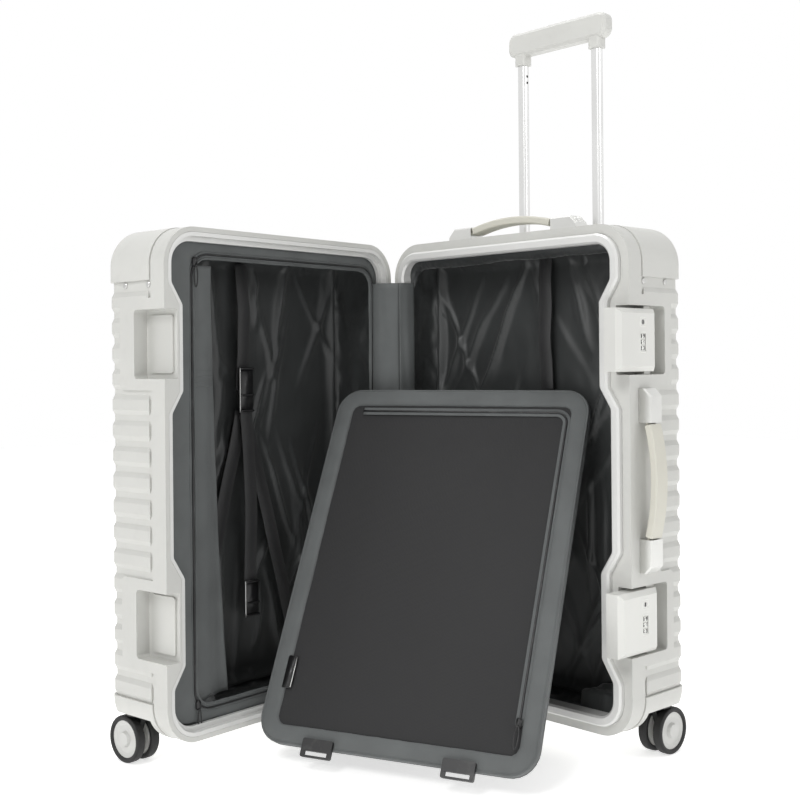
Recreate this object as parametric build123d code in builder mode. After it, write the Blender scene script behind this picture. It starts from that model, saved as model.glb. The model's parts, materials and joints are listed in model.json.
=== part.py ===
from build123d import *
import os
from math import cos, radians, sin

# Hard-shell suitcase, standing open like a book. All lengths in millimetres.
# One half is drawn with its rim in the plane x = 0, its depth along +x,
# its hinge side at y = 0, its latch side at y = -WIDTH, and the floor at z = 0.
# The lid is drawn the same way, mirrored in the rim plane and swung about the hinge.

# Driving sizes of the case
HEIGHT = 640.0
WIDTH = 420.0
DEPTH = 116.0
FLOOR_GAP = 38.0
OPEN_ANGLE = 83.8

# Shell
WALL = 3.0
CORNER_R = 48.0
EDGE_R = 16.0
RIM_BAND = 28.0
RIM_BEVEL = 2.0
FLANGE = 3.0
FIT_GAP = 0.3

# Ribs that run round the back and the side walls
RIB_HEIGHT = 3.0
RIB_WIDTH = 25.0
RIB_RUN = 6.0
RIB_COUNT = 16
RIB_PITCH = 32.3
RIB_START = 31.0

# Aluminium frame round the rim
FRAME_INSET = 12.0
FRAME_CORNER_R = 36.0
JOG_DEPTH = 17.0
JOG_SPREAD = 169.0
JOG_LENGTH = 107.0
JOG_SLOPE = 27.0
JOG_R = 9.0
TONGUE_WIDTH = 13.0
TONGUE_REACH = 8.0
TONGUE_SEAT = 14.0
TONGUE_ROUND = 2.5
LAND_WIDTH = 5.0
LAND_SEAT = 14.0
STEP_WIDTH = 6.0

# Latches on the base, catches in the lid
LATCH_SPREAD = 174.0
LATCH_LENGTH = 79.0
LATCH_HEIGHT = 78.0
LATCH_THICK = 23.0
LATCH_PROUD = 6.0
LATCH_NOSE = 29.0
LATCH_BEVEL = 6.0
LATCH_RECESS_END = 75.0
CATCH_RECESS_END = 60.0
RECESS_HEIGHT = 86.0
RECESS_DEPTH = 20.0
RECESS_WALL = 2.5
RECESS_R = 5.0
PANEL_LAP = 14.0
LATCH_PIN_R = 2.0
LATCH_PIN_X = 43.0
LATCH_PIN_DEPTH = 9.0
LUG_THICK = 3.0
PLATE_THICK = 1.5
DIAL_R = 7.5
DIAL_THICK = 5.6
DIAL_PITCH = 7.4
DIAL_PROUD = 1.2
DIAL_X = 20.0
DIAL_DROP = 3.0
DIAL_SIDES = 20
KEY_R = 3.2
KEY_LENGTH = 9.0
KEY_RISE = 22.0
KEY_SLOT = 1.1
RUNNING_GAP = 0.05
CATCH_THICK = 2.3

# Corner guards and their screws
GUARD_PROUD = 0.8
GUARD_WIDTH = 95.5
GUARD_TOP = 67.0
GUARD_FOOT = 50.0
SCREW_R = 4.0
SCREW_DOME = 1.6
SCREW_INSET = 5.0
SCREW_SPACING = 46.0

# Spinner casters
WHEEL_R = 30.0
WHEEL_WIDTH = 13.0
HUB_R = 23.5
HUB_DISH = 2.5
TYRE_ROUND = 3.0
CASTER_INSET_Y = 26.0
CASTER_INSET_X = 28.0
CASTER_TRAIL = 12.0
WEB_THICK = 8.0
WHEEL_GAP = 0.6
AXLE_R = 3.0
AXLE_BOSS_R = 8.0
CROWN_R = 17.0
CROWN_THICK = 4.0
CROWN_GAP = 0.5
STEM_R = 4.5
STEM_LENGTH = 6.0
BAY_HEIGHT = 28.0
BAY_LENGTH = 50.0
BAY_WALL = 2.5
BAY_PLATE = 7.0

# Telescopic handle
TUBE_X = 94.0
TUBE_MID = 237.0
TUBE_SPACING = 130.5
TUBE_WIDE = 14.0
TUBE_DEEP = 12.0
TUBE_WALL = 1.2
TUBE_R = 4.0
TUBE_LENGTH = 560.0
TUBE_PULLED = 296.0
GUIDE_GAP = 0.4
GUIDE_WALL = 1.2
GRIP_LENGTH = 172.0
GRIP_HEIGHT = 33.0
GRIP_DEEP = 21.0
GRIP_ROUND = 5.0
COLLAR_DROP = 13.0
COLLAR_WALL = 2.6
BUTTON_LENGTH = 38.0
BUTTON_DEEP = 9.0
BUTTON_PROUD = 1.5
BUTTON_TRAVEL = 3.0
WELL_DEPTH = 46.0
WELL_WALL = 2.0
WELL_GAP = 2.5
BEZEL_LIP = 6.0

# Carry handles on the latch side and on the top
CARRY_LENGTH = 228.0
CARRY_END = 42.0
CARRY_WIDE = 25.0
CARRY_PROUD = 18.0
CARRY_BOW = 9.0
CARRY_THICK = 10.0
CARRY_X = 30.0
CARRY_TRAVEL = 5.0
CARRY_TONGUE = 16.0
TONGUE_THICK = 3.0

# Hinge at the rim
HINGE_OUT = 4.0
HINGE_PIN_R = 1.5
KNUCKLE_R = 3.6
KNUCKLE_LENGTH = 18.0
KNUCKLE_GAP = 0.4
HINGE_SPREAD = 190.0
LEAF_THICK = 1.2
LEAF_REACH = 22.0

# Soft linings, straps and the hinge cover
CLOTH = 2.5
LINING_START = 15.0
LINING_GAP = 3.0
BASE_LINING_END = 77.0
LID_LINING_END = 105.0
BORDER_HINGE = 30.0
BORDER_LATCH = 61.0
BORDER_END = 38.0
BORDER_R = 22.0
BORDER_THICK = 3.0
BORDER_X = 16.0
STRAP_WIDTH = 22.0
STRAP_THICK = 1.6
BUCKLE_HEIGHT = 34.0
BUCKLE_THICK = 8.0
COVER_HEIGHT = 530.0
COVER_REACH = 26.0
COVER_THICK = 1.2

# Loose divider panel that leans across the open case
DIVIDER_WIDE = 374.0
DIVIDER_TALL = 503.0
DIVIDER_THICK = 12.0
DIVIDER_R = 34.0
DIVIDER_FOOT = 28.0
DIVIDER_YAW = 21.3
DIVIDER_LEAN = 29.0
DIVIDER_OUT = 300.0
DIVIDER_IN = 53.0
DIVIDER_SIDE = 24.0
DIVIDER_MESH = 5.0
CLIP_WIDTH = 42.0
CLIP_DROP = 13.0
CLIP_THICK = 5.0
CLIP_SPREAD = 190.0
TAB_WIDTH = 12.0
TAB_LENGTH = 42.0

# Small sizes that join the groups above
PARTING = 0.6
RIB_FIRST = 63.0
PANEL_R = 8.0
CARRY_PANEL_END = 62.0
LAND_INSET = 11.5
STEP_GAP = 0.5
SCREW_X = 34.0
BORDER_INSET = 12.3
LUG_WIDE = 12.0
LUG_REACH = 4.0
LATCH_HEEL = 5.0
CATCH_MID = 29.0
CATCH_LENGTH = 46.0
CATCH_HEIGHT = 72.0
CATCH_R = 4.0
DIAL_ROOM = 0.5
DIAL_PIN_R = 1.2
GUIDE_FOOT = 8.0
GRIP_SHOULDER = 12.0
GRIP_BEVEL = 4.0
BUTTON_HEIGHT = 7.0
TONGUE_LOW = 8.0
GRIP_LIFT = 4.0
GRIP_END_GAP = 3.0
STRAP_DROP = 92.0
STRAP_LENGTH = 120.0
STRAP_Y = 236.0
CROSS_ANGLE = 17.0
CROSS_LENGTH = 330.0
CROSS_Y = 216.0
CROSS_Z = 440.0
DROP_LOW = 157.0
DROP_HIGH = 630.0
LID_BUCKLE_HEIGHT = 62.0
CLIP_END = 50.0
CLIP_LAP = 10.0
TAB_RISE = 90.0
PULLER_RISE = 52.0
PULLER_WIDTH = 8.0
PULLER_LENGTH = 26.0

# Worked-out places
MID_Y = -WIDTH / 2
MID_Z = FLOOR_GAP + HEIGHT / 2
TOP_Z = FLOOR_GAP + HEIGHT
CAVITY_INSET = RIB_HEIGHT + WALL
LATCH_Z = {"lower": MID_Z - LATCH_SPREAD, "upper": MID_Z + LATCH_SPREAD}
RIB_Z = [FLOOR_GAP + RIB_FIRST + i * RIB_PITCH for i in range(RIB_COUNT)]
BAY_CEILING = FLOOR_GAP + BAY_HEIGHT
CASTER_X = DEPTH - CASTER_INSET_X
CASTER_Y = {"latch": -WIDTH + CASTER_INSET_Y, "hinge": -CASTER_INSET_Y}
TUBE_Y = (-TUBE_MID - TUBE_SPACING / 2, -TUBE_MID + TUBE_SPACING / 2)
GRIP_Z = TOP_Z + TUBE_PULLED - GRIP_HEIGHT / 2

# Planes that lie on the outside of the case, facing out
LATCH_SIDE = Plane(origin=(0, -WIDTH, 0), x_dir=(1, 0, 0), z_dir=(0, -1, 0))
TOP_SIDE = Plane(origin=(0, 0, TOP_Z), x_dir=(1, 0, 0), z_dir=(0, 0, 1))
ACROSS = Plane(origin=(0, MID_Y, 0), z_dir=(0, 1, 0))

# The hinge line, and how the lid half comes from a half drawn like the base
HINGE_LINE = Axis((-PARTING / 2, HINGE_OUT, 0), (0, 0, 1))
CLOSED_LID = Plane(origin=(-PARTING / 2, 0, 0), z_dir=(1, 0, 0))

pieces = {}


def keep(name, part):
    """Label a finished piece and hold it for writing."""
    part.label = name
    pieces[name] = part


def keep_on_lid(name, part):
    """Mirror a piece into the closed lid, then swing it open."""
    keep(name, mirror(part, about=CLOSED_LID).rotate(HINGE_LINE, -OPEN_ANGLE))


# Shapes that the shell, its guards and its lining share
def rounded_body(inset, start, end, back_r):
    """The case's outline set in by a distance, from one depth to another."""
    with BuildPart() as body:
        with BuildSketch(Plane.YZ.offset(start)):
            with Locations((MID_Y, MID_Z)):
                RectangleRounded(WIDTH - 2 * inset, HEIGHT - 2 * inset, CORNER_R - inset)
        extrude(amount=end - start)
        if back_r:
            fillet(body.faces().sort_by(Axis.X)[-1].edges(), back_r)
    return body.part


def rim_face(inset, depth):
    """Rim outline with its two latch jogs, as a face at one depth."""
    low, high = FLOOR_GAP + inset, TOP_Z - inset
    edge, jog = inset - WIDTH, inset - WIDTH + JOG_DEPTH
    points = [(-inset, low), (edge, low)]
    for mid in (MID_Z - JOG_SPREAD, MID_Z + JOG_SPREAD):
        half = JOG_LENGTH / 2
        points += [(edge, mid - half - JOG_SLOPE), (jog, mid - half)]
        points += [(jog, mid + half), (edge, mid + half + JOG_SLOPE)]
    points += [(edge, high), (-inset, high)]
    corner = max(FRAME_CORNER_R + FRAME_INSET - inset, JOG_R)
    with BuildSketch(Plane.YZ.offset(depth)) as face:
        with BuildLine():
            FilletPolyline(points, radius=[corner] * 2 + [JOG_R] * 8 + [corner] * 2, close=True)
        make_face()
    return face.sketch


def rim_prism(inset, start, end):
    """The rim outline carried from one depth to another."""
    with BuildPart() as prism:
        extrude(rim_face(inset, start), amount=end - start)
    return prism.part


def rim_ring(outer, inner, start, end):
    """A ring that follows the rim outline."""
    with BuildPart() as ring:
        add(rim_prism(outer, start, end))
        add(rim_prism(inner, start - 1, end + 1), mode=Mode.SUBTRACT)
    return ring.part


def rib():
    """One rib: a slab as large as the case, sloped above and below."""
    with BuildPart() as slab:
        with BuildSketch(Plane.XY) as plan:
            with Locations(((RIB_START + DEPTH) / 2, MID_Y)):
                Rectangle(DEPTH - RIB_START, WIDTH)
            fillet(plan.vertices().group_by(Axis.X)[-1], EDGE_R)
        extrude(amount=RIB_WIDTH / 2, both=True)
        for face in (slab.faces().sort_by(Axis.Z)[0], slab.faces().sort_by(Axis.Z)[-1]):
            chamfer(face.edges(), length=RIB_HEIGHT - 0.1, length2=RIB_RUN, reference=face)
    return slab.part


def bay_block(grow, ceiling):
    """The space of one caster bay at the latch side, grown on its inner walls."""
    x_low = CASTER_X - BAY_LENGTH - grow
    y_high = CASTER_Y["latch"] + BAY_LENGTH + grow
    with BuildPart() as block:
        with Locations(((x_low + DEPTH + 2) / 2, (y_high - WIDTH - 2) / 2, (FLOOR_GAP - 2 + ceiling) / 2)):
            Box(DEPTH + 2 - x_low, y_high + WIDTH + 2, ceiling - FLOOR_GAP + 2)
    return block.part


def both_sides(part):
    """A piece at the latch side joined with its twin at the hinge side."""
    with BuildPart() as twins:
        add(part)
        mirror(about=ACROSS)
    return twins.part


def raised_panel(plane, mid, length, end):
    """A flush panel over the ribs, from the rim to a depth."""
    with BuildPart() as panel:
        with BuildSketch(plane):
            with Locations((end / 2, mid)):
                RectangleRounded(end, length, PANEL_R)
        extrude(amount=-RIB_HEIGHT - 1)
    return panel.part


def recess_block(mid, end, depth, grow):
    """The latch recess in the side wall, grown by its own wall."""
    high, length = RECESS_HEIGHT + 2 * grow, end + grow + 1
    with BuildPart() as block:
        with BuildSketch(LATCH_SIDE):
            with Locations((end + grow - length / 2, mid)):
                Rectangle(length, high)
        extrude(amount=-depth - grow)
        back = block.edges().filter_by(Axis.Y).group_by(Axis.X)[-1]
        fillet(back, RECESS_R)
    return block.part


def shell(recess_end, panels, opening_inset):
    """One half's ribbed shell, with latch recesses, caster bays and its rim flange."""
    inner_r = EDGE_R - RIB_HEIGHT - WALL
    bay_tubs = both_sides(bay_block(BAY_WALL, BAY_CEILING + BAY_PLATE + BAY_WALL))
    bays = both_sides(bay_block(0, BAY_CEILING + BAY_PLATE))
    with BuildPart() as half:
        add(rounded_body(RIB_HEIGHT, 0, DEPTH - RIB_HEIGHT, EDGE_R - RIB_HEIGHT))
        add(rounded_body(0, 0, RIM_BAND, 0))
        chamfer(half.faces().filter_by(Axis.X).sort_by(Axis.X)[-2].outer_wire().edges(), RIM_BEVEL)
        slab = rib()
        for z in RIB_Z:
            add(slab.moved(Location((0, 0, z))))
        for panel in panels:
            add(panel)
        cavity_end = DEPTH - RIB_HEIGHT - WALL
        add(rounded_body(CAVITY_INSET, FLANGE, cavity_end, inner_r), mode=Mode.SUBTRACT)
        add(rim_prism(opening_inset, -1, FLANGE + 1), mode=Mode.SUBTRACT)
        for mid in LATCH_Z.values():
            tub = recess_block(mid, recess_end, RECESS_DEPTH, RECESS_WALL)
            add(tub & rounded_body(RIB_HEIGHT / 2, 0, DEPTH, 0))
        add(bay_tubs & rounded_body(RIB_HEIGHT, 0, DEPTH - RIB_HEIGHT, EDGE_R - RIB_HEIGHT))
        for mid in LATCH_Z.values():
            add(recess_block(mid, recess_end, RECESS_DEPTH, 0), mode=Mode.SUBTRACT)
        add(bays, mode=Mode.SUBTRACT)
    return half.part


def guard_skin(low, high):
    """A skin over one latch-side corner, between two heights."""
    proud = rounded_body(-GUARD_PROUD, RIM_BAND + FIT_GAP, DEPTH + GUARD_PROUD, EDGE_R)
    under = rounded_body(RIB_HEIGHT - FIT_GAP, 0, DEPTH - RIB_HEIGHT + FIT_GAP, EDGE_R - RIB_HEIGHT)
    with BuildPart() as skin:
        with Locations((DEPTH / 2, -WIDTH + (GUARD_WIDTH - RIB_HEIGHT) / 2, (low + high) / 2)):
            Box(2 * DEPTH, GUARD_WIDTH + RIB_HEIGHT, high - low)
        add(proud, mode=Mode.INTERSECT)
        add(under, mode=Mode.SUBTRACT)
    return skin.part


def top_guards():
    """The two smooth guards over the top corners."""
    return both_sides(guard_skin(TOP_Z - GUARD_TOP, TOP_Z + RIB_HEIGHT))


def wheel_housings():
    """The two foot guards, each with the plate that holds a caster."""
    plate_top = BAY_CEILING + BAY_PLATE
    with BuildPart() as housing:
        add(bay_block(-FIT_GAP, plate_top - FIT_GAP))
        add(bay_block(1, BAY_CEILING), mode=Mode.SUBTRACT)
        add(rounded_body(RIB_HEIGHT - 1, 0, DEPTH - RIB_HEIGHT + 1, EDGE_R - RIB_HEIGHT), mode=Mode.INTERSECT)
        skin = guard_skin(FLOOR_GAP - RIB_HEIGHT, FLOOR_GAP + GUARD_FOOT)
        add(skin - bay_block(-FIT_GAP, BAY_CEILING))
        with Locations((CASTER_X, CASTER_Y["latch"], plate_top)):
            Hole(STEM_R + RUNNING_GAP)
    return both_sides(housing.part)


def guard_screws():
    """Domed screws in pairs below each top guard, on the latch side."""
    with BuildPart() as screws:
        z = TOP_Z - GUARD_TOP - SCREW_INSET
        for x in (SCREW_X, SCREW_X + SCREW_SPACING):
            with BuildSketch(Plane((x, RIB_HEIGHT - WIDTH - FIT_GAP, z), z_dir=(0, -1, 0))):
                Circle(SCREW_R)
            extrude(amount=SCREW_DOME)
        chamfer(screws.faces().sort_by(Axis.Y)[:2].edges(), SCREW_DOME * 0.6)
    return screws.part


# Base and lid shells
side_panels = [raised_panel(LATCH_SIDE, z, RECESS_HEIGHT + 2 * PANEL_LAP, LATCH_RECESS_END + PANEL_LAP)
               for z in LATCH_Z.values()]
carry_panel = raised_panel(LATCH_SIDE, MID_Z, CARRY_LENGTH + 2 * PANEL_LAP, CARRY_PANEL_END)
top_panel = raised_panel(TOP_SIDE, MID_Y, CARRY_LENGTH, CARRY_PANEL_END)


def trolley_outline(grow, z_low, z_high):
    """The upright block round the stowed grip, grown by a gap or a wall."""
    with BuildPart() as block:
        with BuildSketch(Plane.XY.offset(z_low)):
            with Locations((TUBE_X, -TUBE_MID)):
                RectangleRounded(GRIP_DEEP + 2 * grow, GRIP_LENGTH + 2 * grow, GRIP_ROUND)
        extrude(amount=z_high - z_low)
    return block.part


WELL_FLOOR = TOP_Z - WELL_DEPTH
well_hole = trolley_outline(WELL_GAP, WELL_FLOOR, TOP_Z + 2 * RIB_HEIGHT)
well_space = trolley_outline(WELL_GAP + WELL_WALL + FIT_GAP, WELL_FLOOR - WELL_WALL, TOP_Z + RIB_HEIGHT)

with BuildPart() as base_shell:
    add(shell(LATCH_RECESS_END, side_panels + [carry_panel, top_panel], FRAME_INSET))
    add(well_space, mode=Mode.SUBTRACT)
keep("base_shell", base_shell.part)
keep_on_lid("lid_shell", shell(CATCH_RECESS_END, side_panels + [top_panel], LAND_INSET - LAND_WIDTH - FIT_GAP))

# Frames: a tongue round the base's rim, a land and a step round the lid's
with BuildPart() as base_frame:
    add(rim_ring(FRAME_INSET + FIT_GAP, FRAME_INSET + TONGUE_WIDTH, -TONGUE_REACH, TONGUE_SEAT))
    front = base_frame.faces().filter_by(Axis.X).sort_by(Axis.X)[0]
    chamfer(front.edges(), TONGUE_ROUND)
keep("base_frame", base_frame.part)

with BuildPart() as lid_frame:
    add(rim_ring(LAND_INSET - LAND_WIDTH, LAND_INSET, 0, LAND_SEAT))
    add(rim_ring(LAND_INSET - 1, LAND_INSET + STEP_WIDTH, TONGUE_REACH + STEP_GAP, LAND_SEAT))
keep_on_lid("lid_frame", lid_frame.part)

# Corner guards, wheel housings and screws on both halves
bezel_space = trolley_outline(WELL_GAP + WELL_WALL + BEZEL_LIP + FIT_GAP, WELL_FLOOR, TOP_Z + 2 * RIB_HEIGHT)
keep("base_top_guards", top_guards() - bezel_space)
keep("base_wheel_housings", wheel_housings())
keep("base_guard_screws", guard_screws())
keep_on_lid("lid_top_guards", top_guards())
keep_on_lid("lid_wheel_housings", wheel_housings())
keep_on_lid("lid_guard_screws", guard_screws())


# Linings
def lining(end):
    """A cloth tray inside one half, clear of the bays and the latch recesses."""
    bays_out = both_sides(bay_block(BAY_WALL + FIT_GAP * 2, BAY_CEILING + BAY_PLATE + BAY_WALL + FIT_GAP * 2))
    bays_in = both_sides(bay_block(BAY_WALL + CLOTH + 1, BAY_CEILING + BAY_PLATE + BAY_WALL + CLOTH + 1))
    with BuildPart() as space:
        add(rim_prism(CAVITY_INSET + LINING_GAP + CLOTH, LINING_START - 1, end - CLOTH))
        add(bays_in, mode=Mode.SUBTRACT)
    with BuildPart() as tray:
        add(rim_prism(CAVITY_INSET + LINING_GAP, LINING_START, end))
        add(bays_out, mode=Mode.SUBTRACT)
        add(space.part, mode=Mode.SUBTRACT)
    return tray.part


keep("base_lining", lining(BASE_LINING_END))
keep_on_lid("lid_lining", lining(LID_LINING_END))

# Zipped cloth border round the lid's mouth, with a plain rounded window
with BuildPart() as lid_border:
    add(rim_prism(BORDER_INSET, BORDER_X, BORDER_X + BORDER_THICK))
    with BuildSketch(Plane.YZ.offset(BORDER_X - 1)):
        with Locations((-(BORDER_HINGE + WIDTH - BORDER_LATCH) / 2, MID_Z)):
            RectangleRounded(WIDTH - BORDER_LATCH - BORDER_HINGE, HEIGHT - 2 * BORDER_END, BORDER_R)
    extrude(amount=BORDER_THICK + 2, mode=Mode.SUBTRACT)
keep_on_lid("lid_border", lid_border.part)


# Latches
def latch_mount(mid):
    """Floor plate with two lugs and the pin that the lever turns on."""
    plate_y = -WIDTH + RECESS_DEPTH - FIT_GAP
    pin_y = -WIDTH + LATCH_PIN_DEPTH
    lug_z = LATCH_HEIGHT / 2 + FIT_GAP + LUG_THICK / 2
    with BuildPart() as mount:
        with Locations((LATCH_PIN_X, plate_y - PLATE_THICK / 2, mid)):
            Box(LUG_WIDE, PLATE_THICK, 2 * lug_z + LUG_THICK)
        with Locations(*[(LATCH_PIN_X, (plate_y + pin_y - LUG_REACH) / 2, mid + s * lug_z) for s in (-1, 1)]):
            Box(LUG_WIDE, plate_y - pin_y + LUG_REACH, LUG_THICK)
        with Locations((LATCH_PIN_X, pin_y, mid)):
            Cylinder(LATCH_PIN_R, 2 * lug_z + LUG_THICK)
    return mount.part


def dial_places(mid):
    """Centres of the three dials of one lock."""
    y = -WIDTH - LATCH_PROUD - DIAL_PROUD + DIAL_R
    return [(DIAL_X, y, mid - DIAL_DROP + (i - 1) * DIAL_PITCH) for i in range(3)]


def key_plane(mid):
    """The outer face's plane at the key cylinder."""
    return Plane((DIAL_X, -WIDTH - LATCH_PROUD, mid + KEY_RISE), x_dir=(1, 0, 0), z_dir=(0, -1, 0))


def latch_lever(mid):
    """The lever: a bevelled block whose nose lies over the catch in the lid."""
    dials = dial_places(mid)
    with BuildPart() as lever:
        with BuildSketch(LATCH_SIDE.offset(LATCH_PROUD)):
            with Locations((LATCH_LENGTH / 2 - LATCH_NOSE, mid)):
                Rectangle(LATCH_LENGTH, LATCH_HEIGHT)
        extrude(amount=-LATCH_THICK)
        chamfer(lever.faces().sort_by(Axis.Y)[0].edges(), LATCH_BEVEL)
        chamfer(lever.faces().sort_by(Axis.Y)[-1].edges().sort_by(Axis.X)[-1], LATCH_HEEL)
        with Locations((LATCH_PIN_X, -WIDTH + LATCH_PIN_DEPTH, mid)):
            Cylinder(LATCH_PIN_R + RUNNING_GAP, LATCH_HEIGHT + 1, mode=Mode.SUBTRACT)
        with Locations(*dials):
            Cylinder(DIAL_R + DIAL_ROOM, DIAL_THICK + DIAL_ROOM, mode=Mode.SUBTRACT)
        with Locations((dials[1][0], dials[1][1], dials[1][2])):
            Cylinder(DIAL_PIN_R, 3 * DIAL_PITCH)
        with BuildSketch(key_plane(mid)):
            Circle(KEY_R + RUNNING_GAP)
        extrude(amount=-KEY_LENGTH - FIT_GAP, mode=Mode.SUBTRACT)
    return lever.part


def dial(place):
    """One numbered dial on the lock's pin."""
    with BuildPart() as wheel:
        with BuildSketch(Plane(place)):
            RegularPolygon(DIAL_R, DIAL_SIDES)
            Circle(DIAL_PIN_R + RUNNING_GAP, mode=Mode.SUBTRACT)
        extrude(amount=DIAL_THICK / 2, both=True)
    return wheel.part


def key_cylinder(mid):
    """The key's cylinder with its slot."""
    with BuildPart() as barrel:
        with BuildSketch(key_plane(mid)):
            Circle(KEY_R)
        extrude(amount=-KEY_LENGTH)
        with BuildSketch(key_plane(mid)):
            Rectangle(KEY_SLOT, KEY_R * 1.3)
        extrude(amount=-KEY_LENGTH / 2, mode=Mode.SUBTRACT)
    return barrel.part


for side, mid in LATCH_Z.items():
    keep(f"{side}_latch_mount", latch_mount(mid))
    keep(f"{side}_latch_lever", latch_lever(mid))
    keep(f"{side}_latch_key", key_cylinder(mid))
    for number, place in enumerate(dial_places(mid), 1):
        keep(f"{side}_latch_dial_{number}", dial(place))

# Catch plates on the floors of the lid's pockets
with BuildPart() as lid_catches:
    floor_y = -WIDTH + RECESS_DEPTH - FIT_GAP
    for mid in LATCH_Z.values():
        with BuildSketch(Plane((CATCH_MID, floor_y, mid), x_dir=(1, 0, 0), z_dir=(0, -1, 0))):
            RectangleRounded(CATCH_LENGTH, CATCH_HEIGHT, CATCH_R)
        extrude(amount=CATCH_THICK)
keep_on_lid("lid_catches", lid_catches.part)


# Telescopic handle
with BuildPart() as trolley_well:
    add(rounded_body(-GUARD_PROUD, 0, DEPTH + GUARD_PROUD, EDGE_R))
    add(trolley_outline(WELL_GAP + WELL_WALL + BEZEL_LIP, TOP_Z - EDGE_R, TOP_Z + RIB_HEIGHT), mode=Mode.INTERSECT)
    add(rounded_body(RIB_HEIGHT - FIT_GAP, 0, DEPTH - RIB_HEIGHT + FIT_GAP, EDGE_R - RIB_HEIGHT), mode=Mode.SUBTRACT)
    add(trolley_outline(WELL_GAP + WELL_WALL, WELL_FLOOR - WELL_WALL, TOP_Z - RIB_HEIGHT))
    add(well_hole, mode=Mode.SUBTRACT)
    with BuildSketch(Plane.XY.offset(WELL_FLOOR)):
        with Locations(*[(TUBE_X, y) for y in TUBE_Y]):
            RectangleRounded(TUBE_DEEP + 2 * GUIDE_GAP, TUBE_WIDE + 2 * GUIDE_GAP, TUBE_R)
    extrude(amount=-2 * WELL_WALL, mode=Mode.SUBTRACT)
keep("trolley_well", trolley_well.part)


def tube_pair(wide, deep, corner, wall, low, high):
    """Two upright tubes of the telescopic handle."""
    with BuildPart() as tubes:
        with BuildSketch(Plane.XY.offset(low)):
            with Locations(*[(TUBE_X, y) for y in TUBE_Y]):
                RectangleRounded(deep, wide, corner)
                RectangleRounded(deep - 2 * wall, wide - 2 * wall, corner - wall, mode=Mode.SUBTRACT)
        extrude(amount=high - low)
    return tubes.part


guide_grow = 2 * (GUIDE_GAP + GUIDE_WALL)
keep("trolley_guides", tube_pair(TUBE_WIDE + guide_grow, TUBE_DEEP + guide_grow, TUBE_R + GUIDE_WALL, GUIDE_WALL,
                                 FLOOR_GAP + GUIDE_FOOT, WELL_FLOOR - WELL_WALL))
keep("trolley_tubes", tube_pair(TUBE_WIDE, TUBE_DEEP, TUBE_R, TUBE_WALL, GRIP_Z - TUBE_LENGTH, GRIP_Z))

with BuildPart() as trolley_grip:
    with BuildSketch(Plane((TUBE_X, -TUBE_MID, GRIP_Z), x_dir=(0, 1, 0), z_dir=(1, 0, 0))) as bar:
        Rectangle(GRIP_LENGTH, GRIP_HEIGHT)
        fillet(bar.vertices().group_by(Axis.Z)[-1], GRIP_SHOULDER)
    extrude(amount=GRIP_DEEP / 2, both=True)
    chamfer(trolley_grip.faces().sort_by(Axis.X)[0].edges(), GRIP_BEVEL)
    chamfer(trolley_grip.faces().sort_by(Axis.X)[-1].edges(), GRIP_BEVEL)
    with BuildSketch(Plane.XY.offset(GRIP_Z)):
        with Locations(*[(TUBE_X, y) for y in TUBE_Y]):
            RectangleRounded(TUBE_DEEP + 2 * COLLAR_WALL, TUBE_WIDE + 2 * COLLAR_WALL, TUBE_R)
    extrude(amount=-GRIP_HEIGHT / 2 - COLLAR_DROP)
    with BuildSketch(Plane.XY.offset(GRIP_Z + RUNNING_GAP)):
        with Locations(*[(TUBE_X, y) for y in TUBE_Y]):
            RectangleRounded(TUBE_DEEP + 2 * RUNNING_GAP, TUBE_WIDE + 2 * RUNNING_GAP, TUBE_R)
    extrude(amount=-GRIP_HEIGHT, mode=Mode.SUBTRACT)
    with BuildSketch(Plane.XY.offset(TOP_Z + TUBE_PULLED)):
        with Locations((TUBE_X, -TUBE_MID)):
            RectangleRounded(BUTTON_DEEP + 2 * FIT_GAP, BUTTON_LENGTH + 2 * FIT_GAP, BUTTON_DEEP / 3)
    extrude(amount=-BUTTON_HEIGHT - BUTTON_TRAVEL, mode=Mode.SUBTRACT)
keep("trolley_grip", trolley_grip.part)

with BuildPart() as trolley_button:
    with BuildSketch(Plane.XY.offset(TOP_Z + TUBE_PULLED + BUTTON_PROUD)):
        with Locations((TUBE_X, -TUBE_MID)):
            RectangleRounded(BUTTON_DEEP, BUTTON_LENGTH, BUTTON_DEEP / 3)
    extrude(amount=-BUTTON_HEIGHT)
    chamfer(trolley_button.faces().sort_by(Axis.Z)[-1].edges(), BUTTON_PROUD / 2)
keep("trolley_button", trolley_button.part)


# Carry handles
def carry_ends(plane):
    """The two metal ends that hold a carry handle's grip."""
    inner, outer = CARRY_LENGTH / 2 - CARRY_END, CARRY_LENGTH / 2
    profile = Plane(plane.origin, x_dir=plane.y_dir, z_dir=plane.x_dir)
    with BuildPart() as ends:
        for turn in (1, -1):
            with BuildSketch(profile):
                with BuildLine():
                    Polyline((turn * inner, FIT_GAP), (turn * inner, CARRY_PROUD),
                             (turn * (outer - CARRY_PROUD / 2), CARRY_PROUD), (turn * outer, CARRY_PROUD / 2),
                             (turn * outer, FIT_GAP), (turn * inner, FIT_GAP))
                make_face()
            extrude(amount=CARRY_WIDE / 2, both=True)
        top = ends.faces().filter_by(lambda f: f.normal_at().dot(plane.z_dir) > 0.3)
        chamfer(top.edges().filter_by(lambda e: abs(e.tangent_at(0.5).dot(plane.x_dir)) < 0.1), 2)
        with BuildSketch(plane.offset(TONGUE_LOW - FIT_GAP)):
            with Locations(*[(0, turn * (inner + CARRY_TONGUE / 2)) for turn in (1, -1)]):
                Rectangle(CARRY_WIDE - 3 * TONGUE_THICK + 2 * FIT_GAP, CARRY_TONGUE + 4)
        extrude(amount=TONGUE_THICK + CARRY_TRAVEL + 3 * FIT_GAP, mode=Mode.SUBTRACT)
    return ends.part


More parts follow.
